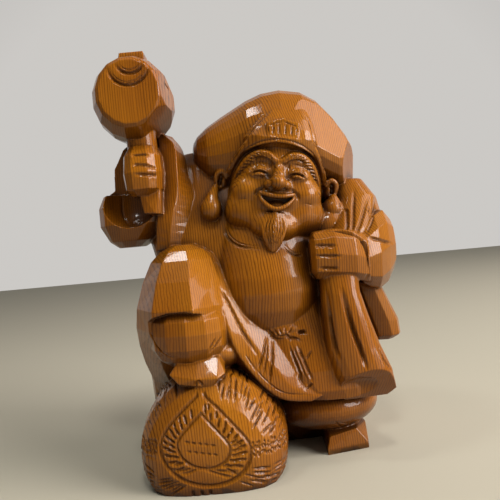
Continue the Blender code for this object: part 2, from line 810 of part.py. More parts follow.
def union(mesh, voxel):
    """One skin round all the forms."""

    def setup(holder):
        remesh = holder.modifiers.new("skin", "REMESH")
        remesh.mode = "VOXEL"
        remesh.voxel_size = voxel

    return evaluated(mesh, setup)


def thinned(mesh, triangles):
    """The mesh brought down to a number of triangles."""
    mesh.calc_loop_triangles()
    ratio = triangles / len(mesh.loop_triangles)

    def setup(holder):
        decimate = holder.modifiers.new("thin", "DECIMATE")
        decimate.ratio = ratio

    return evaluated(mesh, setup)


def seated(mesh):
    """The underside cut flat at the floor, sizes turned into metres."""
    shape = bmesh.new()
    shape.from_mesh(mesh)
    everything = shape.verts[:] + shape.edges[:] + shape.faces[:]
    cutting = bmesh.ops.bisect_plane(
        shape, geom=everything, plane_co=(0, 0, 0), plane_no=(0, 0, 1), clear_inner=True
    )
    rim = [e for e in cutting["geom_cut"] if isinstance(e, bmesh.types.BMEdge)]
    bmesh.ops.edgeloop_fill(shape, edges=rim)
    bmesh.ops.triangulate(shape, faces=shape.faces)
    bmesh.ops.scale(shape, vec=(MM, MM, MM), verts=shape.verts)
    middle_x, middle_y = MIDDLE
    bmesh.ops.translate(shape, vec=(-middle_x * MM, -middle_y * MM, 0), verts=shape.verts)
    result = bpy.data.meshes.new("daikoku_figure")
    shape.to_mesh(result)
    shape.free()
    return result


def wood():
    material = bpy.data.materials.new("varnished_wood")
    material.use_nodes = True
    shader = material.node_tree.nodes["Principled BSDF"]
    shader.inputs["Base Color"].default_value = (0.36, 0.15, 0.03, 1.0)
    shader.inputs["Roughness"].default_value = 0.3
    return material


def main():
    for item in list(bpy.data.objects):
        bpy.data.objects.remove(item)
    forms = [bale(), robe_lap()]
    for group in (raised_leg, body, planted_foot, raised_arm, mallet, lowered_arm, head, hat):
        forms += group()
    mesh = union(joined(forms), VOXEL)
    mesh = carved(mesh, face_strokes() + cloth_strokes() + bale_strokes() + mallet_strokes())
    mesh = thinned(mesh, TRIANGLES)
    figure = bpy.data.objects.new("daikoku_figure", seated(mesh))
    figure.data.materials.append(wood())
    bpy.context.scene.collection.objects.link(figure)


main()
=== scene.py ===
"""Dresses the daikoku figure: the same carving at a finer step, with its fine cuts, in varnished wood."""

import json
import math
import random

import bmesh
import bpy
import numpy as np
from mathutils import Euler, Matrix, Vector
from mathutils.bvhtree import BVHTree

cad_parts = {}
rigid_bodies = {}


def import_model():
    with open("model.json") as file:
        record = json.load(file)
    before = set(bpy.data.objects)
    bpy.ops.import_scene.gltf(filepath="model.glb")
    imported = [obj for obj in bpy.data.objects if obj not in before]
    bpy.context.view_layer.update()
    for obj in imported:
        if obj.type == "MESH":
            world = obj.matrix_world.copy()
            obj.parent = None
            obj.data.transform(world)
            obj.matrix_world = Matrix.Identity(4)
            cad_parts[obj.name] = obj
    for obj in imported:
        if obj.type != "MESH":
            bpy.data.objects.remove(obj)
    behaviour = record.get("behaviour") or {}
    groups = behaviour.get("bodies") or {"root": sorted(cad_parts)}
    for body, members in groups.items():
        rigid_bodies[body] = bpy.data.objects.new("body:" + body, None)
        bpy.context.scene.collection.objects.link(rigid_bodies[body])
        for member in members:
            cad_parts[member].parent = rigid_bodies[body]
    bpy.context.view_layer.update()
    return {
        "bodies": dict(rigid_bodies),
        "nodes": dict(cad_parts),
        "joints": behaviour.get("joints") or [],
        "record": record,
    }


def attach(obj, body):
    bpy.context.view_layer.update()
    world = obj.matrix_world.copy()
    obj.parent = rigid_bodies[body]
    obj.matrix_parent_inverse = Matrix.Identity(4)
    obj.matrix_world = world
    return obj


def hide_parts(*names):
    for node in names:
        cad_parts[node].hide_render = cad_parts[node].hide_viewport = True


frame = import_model()

# Sizes are in millimetres until the last step, x across, y away from the viewer, z up.
MM = 0.001
VOXEL = 0.65
TRIANGLES = 195000
MIDDLE = (-1.1, -1.3)

BALE_CENTRE = -36.5
BALE_HALF_WIDTH = 51.0
BALE_WIDEST = 26.0
EMBLEM_TILT = 0.13
KNEE_TOP = 161.0
BELLY_CENTRE = (10, -10, 127)
BELLY_HALF_WIDTH = 45.0
BELLY_HALF_DEPTH = 50.0
HEAD_PLACE = (22, -11, 191.5)
HEAD_LEAN = 10.0
FACE = 72.0
HAT_TOP = 275.0
MALLET_CENTRE = (-76.8, 270.8)
MALLET_RADIUS = 28.6
MALLET_FRONT = -55.0
KNOB_TOP = 307.5

FACETS = 11
ROUND = 24


def superellipse(centre_u, centre_v, radius_u, radius_v, sides, power, turn):
    """Points round a superellipse, counter-clockwise."""
    points = []
    for step in range(sides):
        angle = math.tau * (step + turn) / sides
        across, along = math.cos(angle), math.sin(angle)
        u = centre_u + radius_u * math.copysign(abs(across) ** (2 / power), across)
        v = centre_v + radius_v * math.copysign(abs(along) ** (2 / power), along)
        points.append((u, v))
    return points


def skin_over(shape, rings):
    """Faces between neighbouring rings of vertices, and a cap at each end."""
    sides = len(rings[0])
    for lower, upper in zip(rings, rings[1:]):
        for i in range(sides):
            j = (i + 1) % sides
            shape.faces.new((lower[i], lower[j], upper[j], upper[i]))
    shape.faces.new(rings[0])
    shape.faces.new(rings[-1])


def loft(sections, axis="Z", sides=ROUND, power=2.4, turn=0.5, frame=None):
    """A closed form through (level, centre u, centre v, radius u, radius v) sections along an axis."""
    shape = bmesh.new()
    rings = []
    for level, centre_u, centre_v, radius_u, radius_v in sections:
        ring = []
        for u, v in superellipse(centre_u, centre_v, radius_u, radius_v, sides, power, turn):
            place = {"Z": (u, v, level), "Y": (u, level, v), "X": (level, u, v)}[axis]
            ring.append(shape.verts.new(place))
        rings.append(ring)
    skin_over(shape, rings)
    return finished(shape, frame)


def hull(points, frame=None):
    """The convex block around some corners."""
    shape = bmesh.new()
    for point in points:
        shape.verts.new(point)
    bmesh.ops.convex_hull(shape, input=shape.verts)
    loose = [v for v in shape.verts if not v.link_faces]
    bmesh.ops.delete(shape, geom=loose, context="VERTS")
    return finished(shape, frame)


def ellipsoid(centre, radii, turn=(0, 0, 0)):
    """A ball scaled to three radii, turned by degrees."""
    shape = bmesh.new()
    bmesh.ops.create_icosphere(shape, subdivisions=4, radius=1.0)
    spin = Euler([math.radians(a) for a in turn]).to_matrix().to_4x4()
    scale = Matrix.Diagonal((*radii, 1.0))
    return finished(shape, Matrix.Translation(centre) @ spin @ scale)


def curve_through(rows, steps):
    """Rows of numbers with smooth in-between rows added, steps to each stretch."""
    rows = [np.array(row, float) for row in rows]
    padded = [2 * rows[0] - rows[1]] + rows + [2 * rows[-1] - rows[-2]]
    smooth = []
    for a, b, c, d in zip(padded, padded[1:], padded[2:], padded[3:]):
        for i in range(steps):
            t = i / steps
            bend = (2 * a - 5 * b + 4 * c - d) * t**2 + (3 * b - a - 3 * c + d) * t**3
            smooth.append(0.5 * (2 * b + (c - a) * t + bend))
    smooth.append(rows[-1])
    return smooth


def sweep(stations, sides=14):
    """A round bar through (x, y, z, radius) stations, closed at both ends."""
    stations = curve_through(stations, 5)
    points = [Vector(station[:3]) for station in stations]
    shape = bmesh.new()
    rings = []
    for i, point in enumerate(points):
        ahead = points[min(i + 1, len(points) - 1)] - points[max(i - 1, 0)]
        ahead.normalize()
        side = ahead.cross(Vector((0, 1, 0)))
        side.normalize()
        up = side.cross(ahead)
        ring = []
        for step in range(sides):
            angle = math.tau * step / sides
            offset = side * math.cos(angle) + up * math.sin(angle)
            ring.append(shape.verts.new(point + offset * stations[i][3]))
        rings.append(ring)
    skin_over(shape, rings)
    return finished(shape)


def finished(shape, frame=None):
    """A form's mesh, faces outward, placed in its frame."""
    if frame is not None:
        bmesh.ops.transform(shape, matrix=frame, verts=shape.verts)
    bmesh.ops.recalc_face_normals(shape, faces=shape.faces)
    mesh = bpy.data.meshes.new("form")
    shape.to_mesh(mesh)
    shape.free()
    return mesh


def evaluated(mesh, setup):
    """The mesh after one modifier."""
    holder = bpy.data.objects.new("holder", mesh)
    bpy.context.scene.collection.objects.link(holder)
    setup(holder)
    bpy.context.view_layer.update()
    graph = bpy.context.evaluated_depsgraph_get()
    result = bpy.data.meshes.new_from_object(holder.evaluated_get(graph))
    bpy.data.objects.remove(holder)
    return result


def cut(mesh, cutters):
    """The form with each cutter taken away."""
    for cutter in cutters:
        tool = bpy.data.objects.new("cutter", cutter)
        bpy.context.scene.collection.objects.link(tool)
        tool.hide_render = True
        tool.display_type = "WIRE"

        def setup(holder):
            boolean = holder.modifiers.new("cut", "BOOLEAN")
            boolean.operation = "DIFFERENCE"
            boolean.solver = "EXACT"
            boolean.object = tool

        mesh = evaluated(mesh, setup)
        bpy.data.objects.remove(tool)
    return mesh


def strip(stations, steps=4):
    """A closed form through cross-sections of the same few corners each."""
    rows = curve_through([np.ravel(station) for station in stations], steps)
    shape = bmesh.new()
    rings = []
    for row in rows:
        rings.append([shape.verts.new(corner) for corner in row.reshape(-1, 3)])
    skin_over(shape, rings)
    bmesh.ops.triangulate(shape, faces=shape.faces)
    return finished(shape)


def chiselled(mesh, cuts):
    """The form with a flat facet at each (point, outward direction)."""
    shape = bmesh.new()
    shape.from_mesh(mesh)
    for point, outward in cuts:
        everything = shape.verts[:] + shape.edges[:] + shape.faces[:]
        cutting = bmesh.ops.bisect_plane(
            shape, geom=everything, plane_co=point, plane_no=outward, clear_outer=True
        )
        rim = [e for e in cutting["geom_cut"] if isinstance(e, bmesh.types.BMEdge)]
        bmesh.ops.edgeloop_fill(shape, edges=rim)
    return finished(shape)


# The bale he stands on, lying on its side with its domed end to the front: distance back, scale and lift.
BALE_PROFILE = (
    (-87.5, 0.36, 9), (-86, 0.55, 5), (-82.5, 0.73, 1), (-76, 0.88, 0), (-66, 0.97, 0),
    (-52, 1.0, 0), (-10, 1.0, 0), (25, 0.96, 0), (42, 0.84, 0), (50, 0.62, 0),
)


def bale_point(y, scale, lift, angle):
    """A point of the bale's skin, the angle going round its long axis."""
    across, along = math.cos(angle), math.sin(angle)
    rise, power = (51.0, 1.75) if along > 0 else (38.0, 3.0)
    wide = math.copysign(abs(across) ** (2 / power), across)
    high = math.copysign(abs(along) ** (2 / power), along)
    x = BALE_CENTRE + BALE_HALF_WIDTH * scale * wide
    return (x, y, BALE_WIDEST * scale + lift + rise * scale * high)


def bale(sides=40):
    shape = bmesh.new()
    rings = []
    for row in BALE_PROFILE:
        angles = [math.tau * (step + 0.5) / sides for step in range(sides)]
        rings.append([shape.verts.new(bale_point(*row, angle)) for angle in angles])
    skin_over(shape, rings)
    return finished(shape)


def raised_leg():
    knee = loft(
        (
            (36, -46, 0, 33, 28),
            (60, -48, -7, 36, 37),
            (76, -49.5, -14, 38, 45),
            (90, -50, -20, 39, 50),
            (104, -50, -24, 39, 57),
            (118, -50.5, -26, 36.5, 57),
            (136, -50.5, -29, 30.5, 44),
            (150, -49.5, -31, 24.5, 31),
            (157, -49, -33, 17.5, 22),
            (KNEE_TOP, -49, -36, 8, 11),
        ),
        sides=8,
        power=2.0,
        turn=1 / 3,
    )
    arch = loft(((-100, -53, 82, 42, 37), (-66, -53, 82, 38, 34)), axis="Y", power=2.1)
    knee = cut(knee, [arch])
    gather = loft(
        (
            (78, -46, -46, 18, 20),
            (83, -47, -46, 24.5, 27),
            (91, -47.5, -46, 28.5, 32),
            (101, -47.5, -46, 29, 34),
            (110, -47.5, -46, 28, 33.5),
            (116, -47.5, -45, 24, 29.5),
            (121, -47.5, -44, 15, 18),
        ),
        sides=FACETS + 3,
        power=2.2,
    )
    ankle = ellipsoid((-36, -42, 84), (30, 24, 14))
    toe = hull(
        [
            (-54, -45, 85), (-26, -45, 85), (-54, -68, 85.5), (-41, -69.5, 85.5), (-28, -69, 84),
            (-61, -75, 76), (-43.5, -79.5, 72.5), (-29, -79, 72), (-24, -74, 74),
            (-55, -77, 69.5), (-43, -78, 67.5), (-32.5, -77, 67), (-56, -45, 62), (-26, -45, 62),
        ]
    )
    return [knee, gather, ankle, toe]


# The front edge of the robe, from the knee down to the hem.
def robe_lap():
    edge = strip(
        (
            [(-44, -34, 156), (-32, -43, 156), (-26, -36, 153), (-22, -26, 150), (-40, -8, 150)],
            [(-42, -50, 132), (-26, -56, 130), (-18, -48, 131), (-11, -38, 132), (-34, -8, 126)],
            [(-36, -56, 106), (-20.5, -62, 103), (-10, -55, 107), (1, -45, 108), (-26, -8, 100)],
            [(-28, -52, 88), (-15, -63, 84), (-2, -58.5, 87), (14, -49, 88), (-16, -8, 82)],
            [(-12, -50, 67), (-4.5, -62, 65.5), (10, -59.5, 70), (27, -52, 70), (2, -8, 63)],
            [(0, -48, 55), (5.5, -61, 53.5), (18, -60, 58), (34, -54, 60), (9, -8, 53)],
            [(11, -46, 47), (16.5, -60, 47.5), (28, -59, 52), (40, -54, 54), (16, -8, 47)],
            [(27, -46, 44.5), (33, -58.5, 45), (40, -58, 48), (46, -54, 50), (28, -8, 45)],
        )
    )
    return softened([edge], 6)


def body():
    core = loft(((40, -5, 12, 82, 40), (105, -5, 2, 84, 44), (125, -5, 2, 70, 40)), power=3.0)
    belly_x, belly_y, belly_z = BELLY_CENTRE
    belly = loft(
        [
            (belly_z + rise, belly_x, belly_y + back, BELLY_HALF_WIDTH * share, BELLY_HALF_DEPTH * share)
            for rise, back, share in (
                (-36, 0, 0.70), (-30, 0, 0.83), (-18, 0, 0.95), (-6, 0, 1.0), (6, 0.5, 1.0),
                (18, 2, 0.97), (29, 4, 0.925), (39, 6, 0.875), (50, 9, 0.80), (60, 13, 0.68),
            )
        ],
        sides=40,
        power=2.1,
    )
    torso = loft(
        (
            (100, 0, 0, 58, 40),
            (130, -5, 0, 62, 44),
            (150, -8, 1, 66, 41),
            (165, -10, 3, 68, 39),
            (180, -10, 6, 68, 36.5),
            (192, -10, 9, 67, 35),
            (205, -10, 13, 60, 32.5),
            (222, -14, 16, 50, 27),
            (235, -14, 20, 36, 16),
        ),
        power=2.6,
    )
    skirt = loft(
        (
            (44, 51, -2, 31, 53),
            (51, 46.5, -2, 36.5, 56),
            (65, 39, -2, 42, 55),
            (80, 34, -2, 44, 52),
            (100, 22, -2, 46, 47),
            (118, 10, -2, 50, 44),
        ),
        power=2.8,
    )
    belt = sweep([(2, -45, 97, 3), (11, -47.5, 95.5, 4), (21, -48, 95, 4), (33, -45, 95, 3)])
    knot = ellipsoid((16, -49.5, 93), (7, 4, 4))
    trousers = ellipsoid((45, -4, 32), (43, 43, 21))
    shoulder_front = ellipsoid((60, -14, 160), (20, 24, 24))
    back = loft(
        (
            (-3, 16, 34, 54, 36),
            (12, 16, 33, 58, 40),
            (34, 14, 32, 65, 45),
            (42, 14, 31, 62, 42),
            (80, 10, 30, 66, 44),
            (120, 8, 30, 63, 44),
            (150, 6, 26, 58, 38),
            (185, 4, 20, 44, 30),
        )
    )
    sack = ellipsoid((17, 40, 165), (64, 45, 70), turn=(0, 14, 0))
    trunk = softened([belly, torso, shoulder_front], 16)
    return [core, trunk, skirt, belt, knot, trousers, back, sack]


def planted_foot():
    foot = hull(
        [
            (42.5, -40, -3), (74, -32, -3), (42.5, -40, 4), (74, -32, 4),
            (45, -37, 12), (66, -32, 15), (76, -14, 14), (76, -14, -3), (44, -20, 18), (70, -14, 18),
            (44, 30, 16), (71, 30, 16), (44, 30, -3), (76, 30, -3),
        ]
    )
    return [foot]


def raised_arm():
    sleeve = loft(
        (
            (163, -92, -3, 10, 12),
            (168, -90, -5, 18, 20),
            (180, -84, -6, 30, 27),
            (194, -82, -6, 32, 28),
            (203, -79, -5, 31, 27),
            (208, -75, -3, 27.5, 24),
            (225, -74, -1, 28, 22),
            (240, -73, 2, 21, 16),
            (247, -71, 4, 14, 12),
        ),
        sides=FACETS + 1,
        power=2.5,
    )
    scoop = ellipsoid((-86.5, -33, 202), (23.5, 26, 25))
    opening = loft(((204, -92, -36, 32, 30), (230, -92, -36, 32, 33), (262, -92, -36, 34, 33)))
    sleeve = cut(sleeve, [opening, scoop])
    fold = strip(
        (
            [(-66, 6, 249), (-64, -12, 250), (-58, -18, 246), (-53, -8, 246), (-54, 6, 246)],
            [(-68, 6, 236), (-62, -21, 237), (-50, -24, 236.5), (-46, -6, 235), (-47, 8, 235)],
            [(-70, 6, 218), (-61, -27, 218), (-49, -30, 218), (-43, -8, 216), (-43, 8, 216)],
            [(-70, 6, 200), (-61, -30, 200), (-50, -33, 200), (-38, -20, 198), (-26, -4, 196)],
            [(-72, 6, 182), (-66, -34, 182), (-55, -36, 182), (-38, -24, 178), (-24, -8, 178)],
            [(-72, 6, 158), (-70, -30, 158), (-59, -35, 160), (-42, -28, 155), (-28, -10, 155)],
        )
    )
    fist = loft(
        (
            (199, -73, -30, 9, 14),
            (203, -73, -30, 13.5, 20),
            (215, -73, -30, 14.5, 22),
            (228, -73, -29, 13.5, 20),
            (235, -73, -28, 10, 14),
        ),
        sides=FACETS + 1,
        power=3.0,
    )
    handle = hull(
        [(x, y, z) for x, z in ((-77, 206), (-74, 186), (-61.5, 184.5), (-60.5, 206)) for y in (-42, -20)]
        + [(-62, -43, 200), (-66, -44, 185.5)]
    )
    neck = loft(((228, -73, -27, 11, 12), (248, -74, -27, 11, 12)))
    return [sleeve, fist, handle, neck, fold]


def mallet():
    centre_x, centre_z = MALLET_CENTRE
    lathe = (
        (0, 0.74, 1.8), (2, 0.82, 1.4), (15, 0.98, 0.3), (28, 1.03, 0),
        (45, 1.0, 0), (58, 0.9, 0.3), (67, 0.76, 0.6),
    )
    sections = []
    for y, scale, aside in lathe:
        radius = MALLET_RADIUS * scale
        sections.append((MALLET_FRONT + y, centre_x + aside, centre_z, radius, radius * 1.07))
    barrel = loft(sections, axis="Y", sides=16, power=2.0)
    barrel = chiselled(
        barrel, [((-50, -24, 272), (1, -0.1, 0.1)), ((-58, -24, 252), (0.8, -0.1, -0.75))]
    )
    knob = hull(
        [(x, y, 294) for x in (-87, -65) for y in (-31, -10)]
        + [(x, y, KNOB_TOP) for x in (-84.5, -66.5) for y in (-29, -12)]
    )
    return [barrel, knob]


def lowered_arm():
    fist = loft(
        (
            (41, -50, 145, 8, 12),
            (44, -50, 145, 14, 17),
            (58, -48, 145, 18, 18.5),
            (72, -44, 143, 19, 18.5),
            (82, -38, 140, 18, 18),
        ),
        axis="X",
        sides=FACETS,
        power=2.8,
    )
    sleeve = loft(
        (
            (78, -34, 140, 22, 19),
            (84, -28, 141, 26, 24),
            (92, -20, 143, 30, 29),
            (101, -12, 147, 27, 29),
            (108, -8, 148, 20, 20),
            (111, -8, 147, 10, 11),
        ),
        axis="X",
        sides=FACETS,
        power=2.4,
    )
    shoulder = loft(
        (
            (140, 85, 2, 23, 28),
            (165, 86, 4, 21, 26),
            (186, 83, 6, 20, 26),
            (196, 79, 8, 17, 24),
            (202, 73, 10, 13, 18),
        ),
        sides=FACETS,
    )
    tail = loft(
        (
            (75.5, 96, -5, 8, 14),
            (79, 97.5, -5, 12.5, 18),
            (90, 95, -5, 14, 20),
            (115, 86, -8, 12, 22),
            (125, 84, -10, 14, 24),
        ),
        sides=FACETS,
        power=2.8,
    )
    cloth = loft(
        (
            (42, 72, -44, 16, 14),
            (47, 73.5, -46, 20.5, 17),
            (62, 70, -48, 21.5, 18),
            (80, 65, -48, 19.5, 17),
            (100, 62, -48, 16.5, 16),
            (118, 60, -47, 14, 16),
            (132, 60, -46, 14, 15),
        ),
        power=2.6,
    )
    cloth = chiselled(cloth, [((62, -66, 63), (0.12, -0.795, -0.6))])
    mouth = ellipsoid((70, -62, 49.5), (19, 9, 12), turn=(37, 8, 0))
    cloth = cut(cloth, [mouth])
    neck = loft(
        (
            (152, 67, -38, 15, 14),
            (162, 73, -29, 16, 17),
            (174, 79, -16, 16.5, 18),
            (186, 83, -5, 17, 20),
            (201, 79, 6, 14, 18),
        ),
        power=2.4,
    )
    return [fist, sleeve, softened([shoulder, neck], 10), tail, cloth]


# The head leans to the figure's left. Face sizes follow from one face height, as a folk mask is laid out.
HEAD = Matrix.Translation(HEAD_PLACE) @ Matrix.Rotation(math.radians(HEAD_LEAN), 4, "Y")
CHIN, CROWN = -FACE / 2, FACE / 2
EYES, NOSE_TIP, LIPS = FACE * 0.165, FACE * 0.09, -FACE * 0.07
EYE_ASIDE = FACE * 0.187
MOUTH_HALF = FACE * 0.18
FACE_FRONT = -42.0
BROW = (
    (0, -39.0, 21.5, 2.2), (4.5, -38.5, 23.2, 3.4), (9, -38, 25.4, 4.2), (15, -35.4, 25.4, 4.6),
    (21.5, -31, 21.2, 4.4), (26.5, -25, 14.5, 3.8), (30, -19, 8.5, 2.4),
)
HELIX = (
    (37, -12, 10, 1.8), (40.5, -13, 15, 2.1), (44.8, -12, 12.5, 2.1), (44.8, -11, 6, 2.0),
    (41.5, -11, 1.8, 1.8),
)
LOBES = ((-46.5, -21, -14), (43.5, -14, -7))


def softened(forms, spread):
    """Forms run together and smoothed over a spread in square millimetres."""

    def setup(holder):
        smooth = holder.modifiers.new("soft", "SMOOTH")
        smooth.factor = 0.5
        smooth.iterations = max(1, round(spread / VOXEL**2))

    return evaluated(union(joined(forms), VOXEL), setup)


def soft_head():
    """Skull, cheeks, nose and chin, run together and smoothed."""
    forms = [
        loft(
            (
                (CHIN - 3, 0, -8, 13, 14),
                (CHIN + 2, 0, -5, 25, 28),
                (CHIN + 12, 0, -2, 35, 38.5),
                (-8, 0, 0, 37, 41),
                (8, 0, 0, 36, 41),
                (22, 0, 0, 34, 40),
                (CROWN, 0, 0, 30, 37),
            ),
            power=2.1,
        ),
        ellipsoid((0, -37, LIPS + 1), (15, 9.5, 11)),
        ellipsoid((0, -35, CHIN + 13), (18, 12, 12)),
    ]
    for side in (-1, 1):
        forms.append(ellipsoid((side * 19, -26, 0), (14.5, 15.5, 12.5), turn=(0, side * -18, 0)))
        forms.append(ellipsoid((side * 16, -20, -13), (21, 20, 18)))
        forms.append(ellipsoid((side * EYE_ASIDE, -32, EYES + 1), (11, 8.5, 8)))
    nose = [
        ellipsoid((0, -46.5, NOSE_TIP), (5.8, 6.8, 5.4)),
        sweep([(0, -38, 21, 3), (0, -40.5, 15, 3.4), (0, -44.5, NOSE_TIP + 4, 4.6)]),
    ]
    for side in (-1, 1):
        nose.append(ellipsoid((side * 5.8, -43, NOSE_TIP - 1.4), (4, 5.2, 3.8)))
    return softened([softened(forms, 70)] + nose, 5)


def smile_line(rise, drop, half_width):
    """Points of a smile: its corners at rise, its middle lower by drop."""
    shares = (-1, -0.7, -0.35, 0, 0.35, 0.7, 1)
    return [(half_width * t, -46.5 + 4.5 * t * t, rise - drop * (1 - t * t)) for t in shares]


def head():
    """The whole head without its hat."""
    upper = smile_line(LIPS + 3.8, 2.4, MOUTH_HALF)
    lower = smile_line(LIPS + 3.8, 9.6, MOUTH_HALF)
    outline = [(x, z) for x, _, z in upper] + [(x, z) for x, _, z in reversed(lower[1:-1])]
    shape = bmesh.new()
    rings = [[shape.verts.new((x, y, z)) for x, z in outline] for y in (-60, -39.5)]
    skin_over(shape, rings)
    face = cut(soft_head(), [finished(shape)])
    thick = (0.9, 1.5, 1.8, 1.7, 1.8, 1.5, 0.9)
    forms = [face, ellipsoid((0, -39.5, LIPS - 4.2), (7.5, 4, 2.6))]
    for line in (smile_line(LIPS + 5.0, 2.8, MOUTH_HALF + 0.5), smile_line(LIPS + 3.0, 9.8, MOUTH_HALF)):
        forms.append(sweep([(*place, radius) for place, radius in zip(line, thick)]))
    for side in (-1, 1):
        forms.append(sweep([(side * x, y, z, radius) for x, y, z, radius in BROW]))
        forms.append(ellipsoid((side * EYE_ASIDE, -36, EYES + 1.8), (8.4, 6, 5), turn=(0, side * 6, 0)))
        forms.append(sweep([(side * x, y, z, radius) for x, y, z, radius in HELIX]))
        forms.append(ellipsoid((side * 40, -6, 8), (4.5, 6.5, 8)))
    for x, y, z in LOBES:
        hanging = ((0.97 * x, -13, 4, 2.2), (x, y, z + 7.5, 5.0), (x, y, z + 1, 7.8))
        forms += [sweep(hanging), ellipsoid((x, y, z), (8.2, 8.4, 9.2))]
    beard = strip(
        (
            [(-6.5, -43.5, -14), (0, -46, -14), (6.5, -43.5, -14), (7, -24, -15), (-7, -24, -15)],
            [(-8.8, -45.5, -24), (0, -48.5, -24), (8.8, -45.5, -24), (8.8, -24, -25), (-8.8, -24, -25)],
            [(-7, -46, -33), (0, -49, -33), (7, -46, -33), (6.5, -26, -34), (-6.5, -26, -34)],
            [(-2.4, -44, -41.5), (0, -45.5, -42), (2.4, -44, -41.5), (1.8, -32, -41.5), (-1.8, -32, -41.5)],
        )
    )
    forms.append(beard)
    for form in forms:
        form.transform(HEAD)
    return forms


def face_strokes():
    """Eye slits, the hollows above the lids and the folds beside the mouth."""
    eye = ((-7.5, -1.8), (-3, 1.8), (2.5, 1.9), (8.5, -2.2))
    hollow = ((-8.5, 4.5), (-4.5, 8.6), (2, 9.4), (8, 6.2), (12.5, 0.5))
    strokes = []
    for side in (-1, 1):
        slit = [(EYE_ASIDE + x, FACE_FRONT, EYES + z) for x, z in eye]
        lid = [(EYE_ASIDE + x, FACE_FRONT, EYES + z) for x, z in hollow]
        fold = [(9.5, FACE_FRONT, NOSE_TIP - 2), (13, -41, LIPS + 5.5), (15.5, -38, LIPS + 1.5)]
        for points, width, depth in ((slit, 3.4, 3.2), (lid, 4.6, 2.2), (fold, 4.0, 1.8)):
            strokes.append(([HEAD @ Vector((side * x, y, z)) for x, y, z in points], width, depth))
    return strokes


def hat():
    lobes = (
        (-38.5, 3, 232, 7, 5),
        (-37.2, 3, 232, 13, 9),
        (-34, 3, 231, 20, 14.5),
        (-26, 3, 229, 28, 23),
        (-15, 3, 230, 33, 28.5),
        (-4, 2, 231.5, 37, 32.5),
        (6, 1, 234, 40, 35),
        (18, 1, 236, 42, 37.5),
        (32, 1, 236.5, 43, HAT_TOP - 236.5),
        (48, 1, 234.5, 42, 37.5),
        (60, 2, 230.5, 38, 34.5),
        (72, 4, 222, 33, 30),
        (81, 5, 216, 27, 22.5),
        (87, 6, 212, 19, 15.5),
        (89, 6, 211, 10, 10),
    )
    crown = loft(lobes, axis="X", power=2.2)
    crown = chiselled(
        crown,
        [
            ((81, 0, 237.5), (1, -0.15, 0.6)),
            ((87.5, 0, 224), (1, -0.4, -0.2)),
            ((65, -27, 235), (0.55, -0.8, 0.25)),
        ],
    )
    panel = loft(
        (
            (31, 0, -8, 22, 29),
            (35, 0, -10, 26, 31),
            (39, 0, -10, 27.5, 31.5),
            (46, 0.8, -9, 24.5, 30.5),
            (54, 2, -7, 20.5, 28),
            (62, 3, -4, 16.5, 23.5),
            (70, 4, 0, 12, 17),
        ),
        power=4.0,
        frame=HEAD,
    )
    rim = (
        (-36, 8, -39, 9.5, -10), (-33, 16.5, -36, 19, -19), (-27.5, 26, -31, 29, -28),
        (-22, 30, -24, 37.5, -35.5), (-12, 33.3, -12, 38.6, -41), (0, 34.8, 0, 38.6, -43),
    )
    rim += tuple((-x, z, -high_x, high_z, y) for x, z, high_x, high_z, y in reversed(rim[:-1]))
    stations = []
    for x, z, high_x, high_z, y in rim:
        front = ((x, y, z), (high_x, y - 0.6, high_z))
        behind = ((high_x * 0.85, y + 14, high_z), (x * 0.85, y + 14, z))
        stations.append([HEAD @ Vector(corner) for corner in front + behind])
    band = strip(stations)
    crest = hull(
        [(x, y, z) for y in (-42, -30) for x, z in ((-9.8, 39.2), (11.2, 39.6))]
        + [(x, y, z) for y in (-40.5, -30) for x, z in ((-11.4, 48.8), (0, 52.6), (11.8, 49.8))],
        frame=HEAD,
    )
    return [crown, panel, band, crest]


